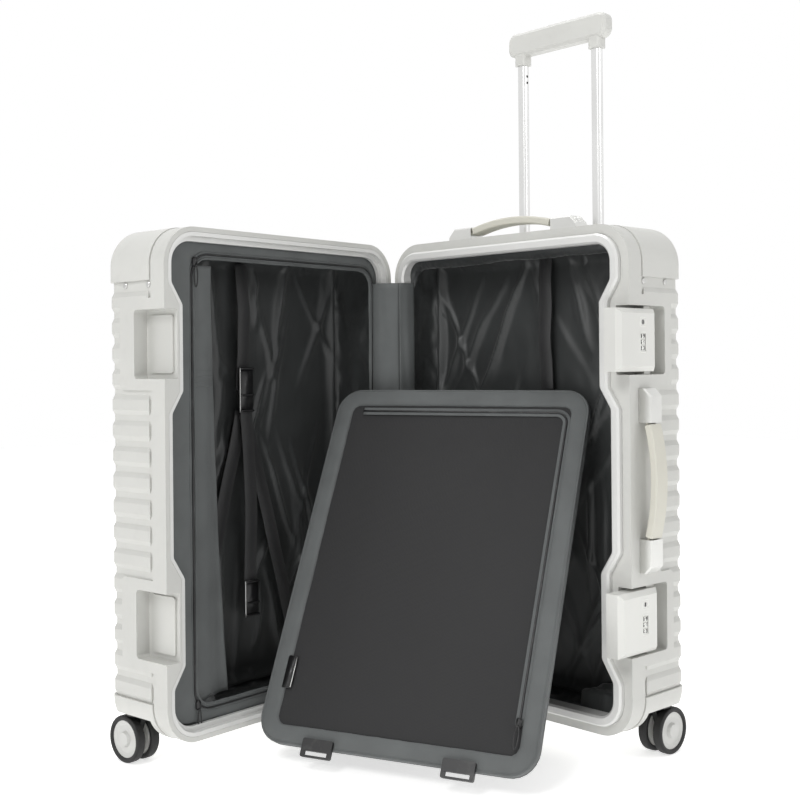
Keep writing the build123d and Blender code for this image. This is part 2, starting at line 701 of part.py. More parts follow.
def carry_grip(plane):
    """A bowed grip with a flat tongue at each end."""
    half = CARRY_LENGTH / 2 - CARRY_END - GRIP_END_GAP
    low = TONGUE_LOW + GRIP_LIFT
    profile = Plane(plane.origin, x_dir=plane.y_dir, z_dir=plane.x_dir)
    with BuildPart() as grip:
        with BuildLine(profile) as path:
            ThreePointArc((-half, low), (0, low + CARRY_BOW), (half, low))
        with BuildSketch(Plane(path.line @ 0, x_dir=plane.x_dir, z_dir=path.line % 0)):
            RectangleRounded(CARRY_WIDE - 1, CARRY_THICK, CARRY_THICK / 4)
        sweep()
        with BuildSketch(plane.offset(TONGUE_LOW)):
            with Locations(*[(0, turn * (half + CARRY_TONGUE / 2 - 1)) for turn in (1, -1)]):
                Rectangle(CARRY_WIDE - 3 * TONGUE_THICK, CARRY_TONGUE)
        extrude(amount=TONGUE_THICK)
    return grip.part


SIDE_HANDLE = Plane(origin=(CARRY_X, -WIDTH, MID_Z), x_dir=(1, 0, 0), z_dir=(0, -1, 0))
TOP_HANDLE = Plane(origin=(CARRY_X, MID_Y, TOP_Z), x_dir=(1, 0, 0), z_dir=(0, 0, 1))
for name, plane in (("side_handle", SIDE_HANDLE), ("top_handle", TOP_HANDLE)):
    keep(f"{name}_ends", carry_ends(plane))
    keep(f"{name}_grip", carry_grip(plane))


# Casters
def caster_fork(y):
    """Swivelling fork: stem, crown, one web between the wheels, and the axle."""
    crown_top = BAY_CEILING - CROWN_GAP
    with BuildPart() as fork:
        with Locations((CASTER_X, y, crown_top - CROWN_THICK / 2)):
            Cylinder(CROWN_R, CROWN_THICK)
        with Locations((CASTER_X, y, crown_top + STEM_LENGTH / 2)):
            Cylinder(STEM_R, STEM_LENGTH)
        with BuildSketch(Plane((CASTER_X, y, 0), x_dir=(1, 0, 0), z_dir=(0, -1, 0))):
            with BuildLine():
                Polyline((-CROWN_R * 0.7, crown_top - 1), (CASTER_TRAIL - AXLE_BOSS_R, WHEEL_R),
                         (CASTER_TRAIL + AXLE_BOSS_R, WHEEL_R), (CROWN_R * 0.9, crown_top - 1),
                         (-CROWN_R * 0.7, crown_top - 1))
            make_face()
            with Locations((CASTER_TRAIL, WHEEL_R)):
                Circle(AXLE_BOSS_R)
        extrude(amount=WEB_THICK / 2, both=True)
        with BuildSketch(Plane((CASTER_X + CASTER_TRAIL, y, WHEEL_R), x_dir=(1, 0, 0), z_dir=(0, -1, 0))):
            Circle(AXLE_R)
        extrude(amount=WEB_THICK / 2 + WHEEL_GAP + WHEEL_WIDTH - HUB_DISH, both=True)
    return fork.part


def wheel_pair(y, profile_points, fillet_r):
    """A ring turned about the axle, with its twin on the other side of the web."""
    axle = Plane((CASTER_X + CASTER_TRAIL, y, WHEEL_R), x_dir=(0, -1, 0), z_dir=(1, 0, 0))
    with BuildPart() as wheel:
        with BuildSketch(axle) as section:
            with BuildLine():
                Polyline(*profile_points, close=True)
            make_face()
            if fillet_r:
                outer = section.vertices().group_by(Axis.Z)[-1]
                fillet(outer, fillet_r)
        revolve(axis=Axis((CASTER_X + CASTER_TRAIL, y, WHEEL_R), (0, -1, 0)))
        mirror(about=Plane(origin=(0, y, 0), z_dir=(0, 1, 0)))
    return wheel.part


def caster_hubs(y):
    """Two dished hubs with caps over the axle's ends."""
    near, far = WEB_THICK / 2 + WHEEL_GAP, WEB_THICK / 2 + WHEEL_GAP + WHEEL_WIDTH
    bore, bore_end = AXLE_R + RUNNING_GAP, far - HUB_DISH + FIT_GAP
    return wheel_pair(y, [(near, bore), (near, HUB_R), (far - HUB_DISH, HUB_R), (far - HUB_DISH, HUB_R - 2),
                          (far - HUB_DISH - 1.5, HUB_R - 6), (far - HUB_DISH - 1.5, AXLE_BOSS_R + 2),
                          (far, AXLE_BOSS_R), (far, 0), (bore_end, 0), (bore_end, bore)], 0)


def caster_tyres(y):
    """Two tyres on the hubs."""
    near, far = WEB_THICK / 2 + WHEEL_GAP, WEB_THICK / 2 + WHEEL_GAP + WHEEL_WIDTH
    return wheel_pair(y, [(near, HUB_R), (near, WHEEL_R), (far, WHEEL_R), (far, HUB_R)], TYRE_ROUND)


for side, y in CASTER_Y.items():
    keep(f"base_{side}_caster_fork", caster_fork(y))
    keep(f"base_{side}_caster_hubs", caster_hubs(y))
    keep(f"base_{side}_caster_tyres", caster_tyres(y))
    keep_on_lid(f"lid_{side}_caster_fork", caster_fork(y))
    keep_on_lid(f"lid_{side}_caster_hubs", caster_hubs(y))
    keep_on_lid(f"lid_{side}_caster_tyres", caster_tyres(y))


# Hinges
HINGE_Z = [MID_Z + step * HINGE_SPREAD for step in (-1, 0, 1)]
KNUCKLE_PITCH = KNUCKLE_LENGTH + KNUCKLE_GAP


def hinge_leaves(steps):
    """Leaves on the hinge-side wall, with knuckles at the given steps along the pin."""
    pin = (-PARTING / 2, HINGE_OUT)
    with BuildPart() as leaves:
        for z in HINGE_Z:
            with BuildSketch(Plane.XY.offset(z)):
                with Locations((LEAF_REACH / 2, FIT_GAP + LEAF_THICK / 2)):
                    Rectangle(LEAF_REACH, LEAF_THICK)
            extrude(amount=1.5 * KNUCKLE_PITCH, both=True)
        for z in HINGE_Z:
            for step in (-1, 0, 1):
                place = (pin[0], pin[1], z + step * KNUCKLE_PITCH)
                if step in steps:
                    with Locations(place):
                        Cylinder(KNUCKLE_R, KNUCKLE_LENGTH)
                else:
                    with Locations(place):
                        Cylinder(KNUCKLE_R + KNUCKLE_GAP, KNUCKLE_PITCH + KNUCKLE_GAP, mode=Mode.SUBTRACT)
            with Locations((pin[0], pin[1], z)):
                Cylinder(HINGE_PIN_R + RUNNING_GAP, 4 * KNUCKLE_PITCH, mode=Mode.SUBTRACT)
    return leaves.part


keep("base_hinge_leaves", hinge_leaves((-1, 1)))
keep_on_lid("lid_hinge_leaves", hinge_leaves((0,)))

with BuildPart() as hinge_pins:
    with Locations(*[(-PARTING / 2, HINGE_OUT, z) for z in HINGE_Z]):
        Cylinder(HINGE_PIN_R, 3 * KNUCKLE_PITCH)
keep("hinge_pins", hinge_pins.part)

# Cloth that covers the hinge gap on the inside, from one frame to the other
swing = radians(OPEN_ANGLE)
cover_in = FRAME_INSET + TONGUE_WIDTH + 2 * COVER_THICK
lid_out = (-PARTING / 2 - (cover_in + HINGE_OUT) * sin(swing), HINGE_OUT - (cover_in + HINGE_OUT) * cos(swing))
lid_in = (lid_out[0] - COVER_REACH * cos(swing) / 2, lid_out[1] + COVER_REACH * sin(swing) / 2)
with BuildPart() as hinge_cover:
    with BuildSketch(Plane.XY.offset(MID_Z - COVER_HEIGHT / 2)):
        with BuildLine() as path:
            FilletPolyline((TONGUE_SEAT - 2, -cover_in), (-TONGUE_REACH - 2, -cover_in), lid_out, lid_in,
                           radius=COVER_REACH / 6)
        trace(path.line, COVER_THICK)
    extrude(amount=COVER_HEIGHT)
keep("hinge_cover", hinge_cover.part)


# Straps
def strap(plane, length, turn):
    """A flat strap lying on a plane, centred on its origin and turned on it."""
    with BuildPart() as band:
        with BuildSketch(plane):
            Rectangle(STRAP_WIDTH, length, rotation=turn)
        extrude(amount=STRAP_THICK)
    return band.part


def buckle(plane, length):
    """A buckle or end clip lying on a strap."""
    with BuildPart() as clasp:
        with BuildSketch(plane) as outline:
            Rectangle(STRAP_WIDTH + 6, length)
            fillet(outline.vertices(), 4)
        extrude(amount=BUCKLE_THICK)
        chamfer(clasp.faces().sort_by(Axis.X)[0].edges(), 2)
    return clasp.part


base_strap_x = BASE_LINING_END - CLOTH - FIT_GAP
strap_mid = TOP_Z - STRAP_DROP - STRAP_LENGTH / 2
base_strap_plane = Plane((base_strap_x, -STRAP_Y, strap_mid), x_dir=(0, 1, 0), z_dir=(-1, 0, 0))
keep("base_strap", strap(base_strap_plane, STRAP_LENGTH, 0))
buckle_plane = Plane((base_strap_x, -STRAP_Y, strap_mid - (STRAP_LENGTH + BUCKLE_HEIGHT) / 2 - FIT_GAP),
                     x_dir=(0, 1, 0), z_dir=(-1, 0, 0))
keep("base_buckle", buckle(buckle_plane, BUCKLE_HEIGHT))

lid_strap_x = LID_LINING_END - CLOTH - FIT_GAP
strap_layer = STRAP_THICK + FIT_GAP


def strap_plane(layer, y, z):
    """A plane that faces out of the lid, one layer of webbing above another."""
    return Plane((lid_strap_x - layer * strap_layer, y, z), x_dir=(0, 1, 0), z_dir=(-1, 0, 0))


with BuildPart() as lid_straps:
    for layer, turn in enumerate((-1, 1)):
        sideways = turn * CROSS_LENGTH / 2 * sin(radians(CROSS_ANGLE))
        middle = CROSS_Z - CROSS_LENGTH / 2 * cos(radians(CROSS_ANGLE))
        add(strap(strap_plane(layer, -CROSS_Y + sideways, middle), CROSS_LENGTH, turn * CROSS_ANGLE))
    add(strap(strap_plane(2, -CROSS_Y, (DROP_LOW + DROP_HIGH) / 2), DROP_HIGH - DROP_LOW, 0))
keep_on_lid("lid_straps", lid_straps.part)
with BuildPart() as lid_buckles:
    add(buckle(strap_plane(3, -CROSS_Y, CROSS_Z + LID_BUCKLE_HEIGHT / 2), LID_BUCKLE_HEIGHT))
    add(buckle(strap_plane(3, -CROSS_Y, DROP_LOW + CLIP_END / 2), CLIP_END))
keep_on_lid("lid_buckle", lid_buckles.part)

# Loose divider, leaning across the case
yaw, lean = radians(DIVIDER_YAW), radians(DIVIDER_LEAN)
along = Vector(sin(yaw), -cos(yaw), 0)
behind = Vector(cos(yaw), sin(yaw), 0)
foot = Vector(-DIVIDER_OUT, -DIVIDER_IN, DIVIDER_FOOT)
face_out = Vector(0, 0, 1) * sin(lean) - behind * cos(lean)
upward = behind * sin(lean) + Vector(0, 0, 1) * cos(lean)
DIVIDER = Plane(origin=foot + along * (DIVIDER_WIDE / 2) + upward * (DIVIDER_TALL / 2), x_dir=along, z_dir=face_out)

with BuildPart() as divider_border:
    with BuildSketch(DIVIDER):
        RectangleRounded(DIVIDER_WIDE, DIVIDER_TALL, DIVIDER_R)
        RectangleRounded(DIVIDER_WIDE - 2 * DIVIDER_SIDE, DIVIDER_TALL - 2 * DIVIDER_SIDE, DIVIDER_R - DIVIDER_SIDE,
                         mode=Mode.SUBTRACT)
    extrude(amount=-DIVIDER_THICK)
keep("divider_border", divider_border.part)

with BuildPart() as divider_mesh:
    with BuildSketch(DIVIDER.offset((DIVIDER_MESH - DIVIDER_THICK) / 2)):
        RectangleRounded(DIVIDER_WIDE - 2 * DIVIDER_SIDE - 2 * FIT_GAP, DIVIDER_TALL - 2 * DIVIDER_SIDE - 2 * FIT_GAP,
                         DIVIDER_R - DIVIDER_SIDE)
    extrude(amount=-DIVIDER_MESH)
keep("divider_mesh", divider_mesh.part)

# Two hooks under the divider's foot
with BuildPart() as divider_clips:
    drop_y = -DIVIDER_TALL / 2 - CLIP_DROP / 2 + CLIP_LAP / 2
    with BuildSketch(DIVIDER.offset(FIT_GAP)):
        with Locations(*[(s * CLIP_SPREAD / 2, drop_y) for s in (-1, 1)]):
            RectangleRounded(CLIP_WIDTH, CLIP_DROP + CLIP_LAP, CLIP_THICK / 2)
    extrude(amount=CLIP_THICK)
    with BuildSketch(DIVIDER.offset(FIT_GAP)):
        with Locations(*[(s * CLIP_SPREAD / 2, -DIVIDER_TALL / 2 - CLIP_DROP * 0.6) for s in (-1, 1)]):
            Rectangle(CLIP_WIDTH - 2 * CLIP_THICK, CLIP_DROP * 0.4)
    extrude(amount=CLIP_THICK, mode=Mode.SUBTRACT)
keep("divider_clips", divider_clips.part)

with BuildPart() as divider_tab:
    with BuildSketch(DIVIDER.offset(FIT_GAP)):
        with Locations((-DIVIDER_WIDE / 2 + DIVIDER_SIDE / 2, -DIVIDER_TALL / 2 + TAB_RISE)):
            RectangleRounded(TAB_WIDTH, TAB_LENGTH, TAB_WIDTH / 3)
    extrude(amount=STRAP_THICK)
keep("divider_tab", divider_tab.part)

with BuildPart() as divider_puller:
    with BuildSketch(DIVIDER.offset(FIT_GAP)):
        with Locations((DIVIDER_WIDE / 2 - DIVIDER_SIDE / 2, -DIVIDER_TALL / 2 + PULLER_RISE)):
            RectangleRounded(PULLER_WIDTH, PULLER_LENGTH, PULLER_WIDTH / 3)
    extrude(amount=STRAP_THICK)
keep("divider_puller", divider_puller.part)

# Set the whole case down with its footprint's middle at the origin
boxes = [piece.bounding_box() for piece in pieces.values()]
low = Vector(min(b.min.X for b in boxes), min(b.min.Y for b in boxes), min(b.min.Z for b in boxes))
high = Vector(max(b.max.X for b in boxes), max(b.max.Y for b in boxes), max(b.max.Z for b in boxes))
SHIFT = Vector(-(low.X + high.X) / 2, -(low.Y + high.Y) / 2, -low.Z)
os.makedirs("parts", exist_ok=True)
for name, piece in pieces.items():
    placed = piece.moved(Location(SHIFT))
    placed.label = name
    export_step(placed, f"parts/{name}.step")
print(len(pieces), "pieces, moved by", SHIFT, "overall", high - low)
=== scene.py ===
# %% [markdown]
# # Looks for an open hard-shell suitcase
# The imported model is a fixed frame. This script sets the camera, gives every
# hard part a material, and makes the cloth, webbing, zips and small fittings.

# %%
import json
from math import cos, pi, radians, sin

import bmesh
import bpy
from mathutils import Matrix, Vector, noise


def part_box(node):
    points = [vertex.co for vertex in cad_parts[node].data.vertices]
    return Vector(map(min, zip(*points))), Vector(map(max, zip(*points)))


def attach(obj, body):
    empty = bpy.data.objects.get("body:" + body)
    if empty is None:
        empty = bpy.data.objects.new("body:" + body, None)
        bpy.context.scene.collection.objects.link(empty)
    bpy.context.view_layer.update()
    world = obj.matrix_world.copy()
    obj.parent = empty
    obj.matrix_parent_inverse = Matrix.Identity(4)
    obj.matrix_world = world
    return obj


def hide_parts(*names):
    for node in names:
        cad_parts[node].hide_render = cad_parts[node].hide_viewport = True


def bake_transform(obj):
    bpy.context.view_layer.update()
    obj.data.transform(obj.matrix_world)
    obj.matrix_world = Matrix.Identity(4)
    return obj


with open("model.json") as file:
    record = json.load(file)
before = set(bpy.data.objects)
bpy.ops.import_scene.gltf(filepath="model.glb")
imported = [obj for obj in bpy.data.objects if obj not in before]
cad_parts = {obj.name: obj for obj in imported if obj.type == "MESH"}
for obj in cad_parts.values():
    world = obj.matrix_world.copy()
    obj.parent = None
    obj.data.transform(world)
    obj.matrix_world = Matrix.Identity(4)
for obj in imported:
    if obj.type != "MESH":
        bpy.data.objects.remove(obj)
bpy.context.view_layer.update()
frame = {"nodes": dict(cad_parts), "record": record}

# %% [markdown]
# ## Sizes
# All sizes are in millimetres in the drawing frame of one half: the rim is the
# plane x = 0, depth runs along +x, the hinge side is y = 0, the floor is z = 0.

# %%
MM = 0.001
WIDTH = 420.0
HEIGHT = 640.0
FLOOR_GAP = 38.0
TOP_Z = FLOOR_GAP + HEIGHT
MID_Y = -WIDTH / 2
MID_Z = FLOOR_GAP + HEIGHT / 2
PARTING = 0.6
HINGE_OUT = 4.0
OPEN_ANGLE = radians(83.8)

FRAME_INSET = 12.0
FRAME_R = 36.0
JOG_DEPTH = 17.0
JOG_LENGTH = 107.0
JOG_SLOPE = 27.0
JOG_SPREAD = 169.0
JOG_R = 9.0
END_RUN = 80.0
MIDDLE_RUN = 177.0
LINING_THICK = 0.8
CLOTH_THICK = 1.2

shell_low, shell_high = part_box("base_shell")
ORIGIN = Vector((shell_low[0], shell_high[1], 0))


def on_base(x, y, z):
    """A point of the base half, in metres in the shared frame."""
    return ORIGIN + Vector((x, y, z)) * MM


def on_lid(x, y, z):
    """The same point of the lid half: mirrored in the rim, then swung open."""
    turn = Matrix.Rotation(-OPEN_ANGLE, 3, "Z")
    hinge = Vector((-PARTING / 2, HINGE_OUT, 0))
    closed = Vector((-x - PARTING, y, z))
    return ORIGIN + (hinge + turn @ (closed - hinge)) * MM


# %% [markdown]
# ## Camera
# The camera stands in front of the gap between the halves, level, at about
# the middle of the case, and looks a little to the right of +Y.

# %%
cam_data = bpy.data.cameras.new("camera")
cam = bpy.data.objects.new("camera", cam_data)
bpy.context.collection.objects.link(cam)
bpy.context.scene.camera = cam
cam_data.lens = 54.2
cam_data.sensor_width = 36
cam_data.shift_y = -0.0441
cam_data.clip_start = 0.01
cam_data.clip_end = 50
CAMERA_TURN = radians(43.2)
CAMERA_ROLL = 0.0086
cam.location = on_base(-1213.8, -1302.0, 503.9)
facing = Matrix.Rotation(-CAMERA_TURN, 4, "Z") @ Matrix.Rotation(pi / 2, 4, "X")
cam.matrix_world = Matrix.Translation(cam.location) @ facing @ Matrix.Rotation(-CAMERA_ROLL, 4, "Z")
bpy.context.scene.render.resolution_x = 800
bpy.context.scene.render.resolution_y = 800
bpy.context.scene.view_settings.view_transform = "Standard"

# %% [markdown]
# ## Materials
# Every material is made of nodes on object coordinates: a colour that varies a
# little, a roughness that varies with it, and on most, one or two bumps.


# %%
def linear(hex_colour):
    """An sRGB hex colour as linear RGBA."""
    parts = [int(hex_colour[i:i + 2], 16) / 255 for i in (1, 3, 5)]
    return tuple(c / 12.92 if c <= 0.04045 else ((c + 0.055) / 1.055) ** 2.4 for c in parts) + (1.0,)


def shaded(colour, factor):
    """A linear colour made lighter or darker."""
    return tuple(min(c * factor, 1.0) for c in colour[:3]) + (1.0,)


def base_material(name, hex_colour, rough, metal=0.0, vary=0.05, blotch=9.0):
    """A principled material with a slow variation in colour and roughness."""
    mat = bpy.data.materials.new(name)
    mat.use_nodes = True
    nodes, links = mat.node_tree.nodes, mat.node_tree.links
    shader = nodes["Principled BSDF"]
    coords = nodes.new("ShaderNodeTexCoord")
    cloud = nodes.new("ShaderNodeTexNoise")
    cloud.inputs["Scale"].default_value = blotch
    cloud.inputs["Detail"].default_value = 5
    links.new(coords.outputs["Object"], cloud.inputs["Vector"])
    ramp = nodes.new("ShaderNodeValToRGB")
    colour = linear(hex_colour)
    ramp.color_ramp.elements[0].position = 0.3
    ramp.color_ramp.elements[0].color = shaded(colour, 1 - vary)
    ramp.color_ramp.elements[1].position = 0.7
    ramp.color_ramp.elements[1].color = shaded(colour, 1 + vary)
    links.new(cloud.outputs["Fac"], ramp.inputs["Fac"])
    links.new(ramp.outputs["Color"], shader.inputs["Base Color"])
    spread = nodes.new("ShaderNodeMapRange")
    spread.inputs["To Min"].default_value = max(rough - 0.06, 0.03)
    spread.inputs["To Max"].default_value = min(rough + 0.06, 1.0)
    links.new(cloud.outputs["Fac"], spread.inputs["Value"])
    links.new(spread.outputs["Result"], shader.inputs["Roughness"])
    shader.inputs["Metallic"].default_value = metal
    return mat


def add_bump(mat, height, strength, distance=0.0003):
    """Chain one more bump in front of the material's normal."""
    nodes, links = mat.node_tree.nodes, mat.node_tree.links
    shader = nodes["Principled BSDF"]
    bump = nodes.new("ShaderNodeBump")
    bump.inputs["Strength"].default_value = strength
    bump.inputs["Distance"].default_value = distance
    links.new(height, bump.inputs["Height"])
    if shader.inputs["Normal"].links:
        links.new(shader.inputs["Normal"].links[0].from_socket, bump.inputs["Normal"])
    links.new(bump.outputs["Normal"], shader.inputs["Normal"])


def noise_height(mat, scale, detail=2.0, stretch=(1, 1, 1)):
    """A noise texture's value, stretched along an axis where asked."""
    nodes, links = mat.node_tree.nodes, mat.node_tree.links
    coords = nodes.new("ShaderNodeTexCoord")
    mapping = nodes.new("ShaderNodeMapping")
    mapping.inputs["Scale"].default_value = stretch
    grain = nodes.new("ShaderNodeTexNoise")
    grain.inputs["Scale"].default_value = scale
    grain.inputs["Detail"].default_value = detail
    links.new(coords.outputs["Object"], mapping.inputs["Vector"])
    links.new(mapping.outputs["Vector"], grain.inputs["Vector"])
    return grain.outputs["Fac"]


def weave_height(mat, pitch):
    """Two crossed sets of threads, one upright and one across, as one height."""
    nodes, links = mat.node_tree.nodes, mat.node_tree.links
    coords = nodes.new("ShaderNodeTexCoord")
    threads = []
    for direction in ("Z", "DIAGONAL"):
        wave = nodes.new("ShaderNodeTexWave")
        wave.bands_direction = direction
        wave.inputs["Scale"].default_value = 0.314 / pitch
        wave.inputs["Distortion"].default_value = 0.6
        wave.inputs["Detail"].default_value = 1.0
        links.new(coords.outputs["Object"], wave.inputs["Vector"])
        threads.append(wave.outputs["Fac"])
    join = nodes.new("ShaderNodeMath")
    join.operation = "MAXIMUM"
    links.new(threads[0], join.inputs[0])
    links.new(threads[1], join.inputs[1])
    return join.outputs["Value"]


def wear_specks(mat, hex_colour, amount):
    """Another tone in the few places where a fine noise is strong."""
    nodes, links = mat.node_tree.nodes, mat.node_tree.links
    shader = nodes["Principled BSDF"]
    source = shader.inputs["Base Color"].links[0].from_socket
    fine = noise_height(mat, 60, 6)
    ramp = nodes.new("ShaderNodeMapRange")
    ramp.inputs["From Min"].default_value = 0.55
    ramp.inputs["From Max"].default_value = 0.8
    ramp.inputs["To Max"].default_value = amount
    links.new(fine, ramp.inputs["Value"])
    mix = nodes.new("ShaderNodeMix")
    mix.data_type = "RGBA"
    links.new(ramp.outputs["Result"], mix.inputs["Factor"])
    links.new(source, mix.inputs["A"])
    mix.inputs["B"].default_value = linear(hex_colour)
    links.new(mix.outputs["Result"], shader.inputs["Base Color"])


def plastic(name, hex_colour, rough, grain=900, strength=0.25):
    """Moulded plastic with a fine grain."""
    mat = base_material(name, hex_colour, rough, vary=0.025)
    add_bump(mat, noise_height(mat, grain, 3), strength, 0.0002)
    add_bump(mat, noise_height(mat, 45, 2), 0.06, 0.0006)
    wear_specks(mat, "#A9A9A4", 0.12)
    return mat


def metal(name, hex_colour, rough, stretch=(1, 1, 30)):
    """Metal with a fine brushed grain."""
    mat = base_material(name, hex_colour, rough, metal=1.0, vary=0.04, blotch=14)
    add_bump(mat, noise_height(mat, 500, 2, stretch), 0.12, 0.0001)
    return mat


def cloth(name, hex_colour, rough, pitch, strength=0.5, sheen=0.3, vary=0.12):
    """Woven cloth: threads, a little sheen and uneven colour."""
    mat = base_material(name, hex_colour, rough, vary=vary, blotch=22)
    shader = mat.node_tree.nodes["Principled BSDF"]
    shader.inputs["Sheen Weight"].default_value = sheen
    shader.inputs["Sheen Roughness"].default_value = 0.45
    add_bump(mat, weave_height(mat, pitch), strength, 0.00025)
    add_bump(mat, noise_height(mat, 120, 4), 0.18, 0.0005)
    return mat


SHELL = plastic("shell plastic", "#CACAC6", 0.44)
GUARD = plastic("guard plastic", "#CDCDC9", 0.46)
RIM = base_material("rim metal", "#DADAD8", 0.36, metal=0.2, vary=0.02)
add_bump(RIM, noise_height(RIM, 700, 2), 0.08, 0.0001)
CREAM = plastic("cream grip", "#CFCDC2", 0.52, grain=700)
HANDLE_METAL = metal("handle metal", "#D6D6D3", 0.3, (1, 1, 6))
LATCH = base_material("latch metal", "#DADAD6", 0.38, metal=0.2, vary=0.03)
add_bump(LATCH, noise_height(LATCH, 800, 3), 0.12, 0.0001)
PLATE = base_material("plate metal", "#C9C9C5", 0.38, metal=0.4, vary=0.04)
STEEL = metal("screw steel", "#C4C4C2", 0.3, (1, 1, 1))
TUBE = metal("tube metal", "#DCDCDB", 0.3, (30, 30, 1))
GREY_PLASTIC = plastic("grey plastic", "#BFBFBB", 0.5)
DIAL = plastic("dial plastic", "#F0F0EC", 0.3, strength=0.08)
KEY = metal("key metal", "#A8A8A6", 0.25, (1, 1, 1))
LINING = cloth("lining cloth", "#313333", 0.4, 0.0007, strength=0.3, sheen=0.2)
BORDER = cloth("border cloth", "#5E6161", 0.74, 0.0009, sheen=0.12)
FLAP = cloth("flap cloth", "#5A5D5D", 0.66, 0.0009, sheen=0.15)
MESH = cloth("mesh cloth", "#1F1F20", 0.75, 0.0014, strength=0.7, sheen=0.08)
WEBBING = cloth("webbing", "#1D1D1E", 0.55, 0.0018, strength=0.8, sheen=0.2)
BLACK = plastic("black plastic", "#1B1B1C", 0.38, grain=1200)
FORK = plastic("fork plastic", "#1D1D1D", 0.45)
HUB = plastic("hub plastic", "#CBCBC8", 0.4)
TYRE = base_material("tyre rubber", "#161616", 0.62, vary=0.15, blotch=30)
add_bump(TYRE, noise_height(TYRE, 600, 3), 0.25, 0.0002)
INK = base_material("dial ink", "#101010", 0.5)
# Near-black: the trolley pins' own dark colour, and painted shade in each key's slot, where a dark plate
# stands in for the slot's depth.
PIN_BLACK_AND_PAINTED_SLOT_SHADE = base_material("pin black and painted slot shade", "#0C0C0C", 0.7)

finishes = {
    "shell": SHELL, "frame": RIM, "cream": CREAM, "handle_metal": HANDLE_METAL,
    "latch": LATCH, "catch_plate": PLATE, "dial": DIAL, "key": KEY, "screws": STEEL,
    "aluminium_tube": TUBE, "grey_plastic": GREY_PLASTIC, "lining": LINING, "border": BORDER,
    "mesh": MESH, "webbing": WEBBING, "buckle": BLACK, "fork": FORK, "hub": HUB, "tyre": TYRE,
}
for entry in frame["record"]["subparts"]:
    node = frame["nodes"][entry["node"]]
    finish = finishes[entry["material_slot"]]
    if entry["node"].endswith(("guards", "housings")) or entry["node"] in ("trolley_grip", "trolley_button"):
        finish = GUARD
    for place in node.material_slots:
        place.material = finish


# %% [markdown]
# ## Making pieces
# A piece is a mesh in metres in the shared frame that rides on one body.


# %%
def piece(name, points, faces, material, body, replaced=()):
    """A smooth mesh object from points in metres."""
    mesh = bpy.data.meshes.new(name)
    mesh.from_pydata([tuple(p) for p in points], [], faces)
    work = bmesh.new()
    work.from_mesh(mesh)
    bmesh.ops.remove_doubles(work, verts=work.verts, dist=0.00001)
    bmesh.ops.recalc_face_normals(work, faces=work.faces)
    work.to_mesh(mesh)
    work.free()
    mesh.polygons.foreach_set("use_smooth", [True] * len(mesh.polygons))
    mesh.materials.append(material)
    obj = bpy.data.objects.new(name, mesh)
    bpy.context.collection.objects.link(obj)
    if replaced:
        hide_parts(*replaced)
    if body:
        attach(obj, body)
    return obj


def grid_faces(rows, columns, close_rows=False, close_columns=False):
    """Quads over a grid of points stored row by row."""
    faces = []
    for r in range(rows if close_rows else rows - 1):
        for c in range(columns if close_columns else columns - 1):
            r2, c2 = (r + 1) % rows, (c + 1) % columns
            faces.append((r * columns + c, r * columns + c2, r2 * columns + c2, r2 * columns + c))
    return faces


def rounded_path(corners, radii, steps, pitch):
    """A closed path through corners with rounded turns, as 2-D points."""
    count = len(corners)
    ends = []
    for i in range(count):
        a, b, c = (Vector(corners[(i + k) % count]) for k in (-1, 0, 1))
        into, out = (a - b).normalized(), (c - b).normalized()
        half = into.angle(out) / 2
        reach = radii[i] / max(0.05, abs(sin(half) / cos(half)))
        start, end = b + into * reach, b + out * reach
        centre = b + (into + out).normalized() * (radii[i] / sin(half))
        ends.append((start, end, centre))
    path = []
    for i in range(count):
        start, end, centre = ends[i]
        first, last = start - centre, end - centre
        turn = first.angle_signed(last)
        for k in range(steps + 1):
            path.append(centre + Matrix.Rotation(-turn * k / steps, 2) @ first)
        following = ends[(i + 1) % count][0]
        run = max(1, pitch[i])
        for k in range(1, run):
            path.append(end.lerp(following, k / run))
    return path


def rim_path(inset, pitch=9.0, steps=6):
    """The rim's outline set in by a distance, as (y, z) points."""
    low, high = FLOOR_GAP + inset, TOP_Z - inset
    edge, jog, half = inset - WIDTH, inset - WIDTH + JOG_DEPTH, JOG_LENGTH / 2
    corners = [(-inset, low), (edge, low)]
    for mid in (MID_Z - JOG_SPREAD, MID_Z + JOG_SPREAD):
        corners += [(edge, mid - half - JOG_SLOPE), (jog, mid - half)]
        corners += [(jog, mid + half), (edge, mid + half + JOG_SLOPE)]
    corners += [(edge, high), (-inset, high)]
    corner = max(FRAME_R + FRAME_INSET - inset, JOG_R)
    radii = [corner] * 2 + [JOG_R] * 8 + [corner] * 2
    jog_runs = [JOG_SLOPE, JOG_LENGTH, JOG_SLOPE]
    nominal = [WIDTH, END_RUN] + jog_runs + [MIDDLE_RUN] + jog_runs + [END_RUN, WIDTH, HEIGHT]
    runs = [max(2, int(n / pitch)) for n in nominal]
    return rounded_path(corners, radii, steps, runs)


def window_path(low_y, high_y, low_z, high_z, radius, count):
    """A rounded rectangle with a set number of evenly spaced points."""
    corners = [(high_y, low_z), (low_y, low_z), (low_y, high_z), (high_y, high_z)]
    dense = rounded_path(corners, [radius] * 4, 12, [60] * 4)
    return spaced(dense, count)


def spaced(path, count):
    """A closed path sampled again at even steps."""
    lengths = [0.0]
    for i in range(len(path)):
        lengths.append(lengths[-1] + (path[(i + 1) % len(path)] - path[i]).length)
    total, result, j = lengths[-1], [], 0
    for k in range(count):
        target = total * k / count
        while lengths[j + 1] < target:
            j += 1
        share = (target - lengths[j]) / max(lengths[j + 1] - lengths[j], 1e-9)
        result.append(path[j].lerp(path[(j + 1) % len(path)], share))
    return result


def folds(point, scale, seed):
    """Cloth creases: sharp ridges with softer swells under them."""
    p = point * scale + Vector((seed, seed * 1.7, seed * 0.6))
    ridge = 1 - abs(noise.noise(p))
    fine = 1 - abs(noise.noise(p * 2.3 + Vector((5.2, 1.3, 9.7))))
    return ridge ** 3 * 0.7 + fine ** 3 * 0.3


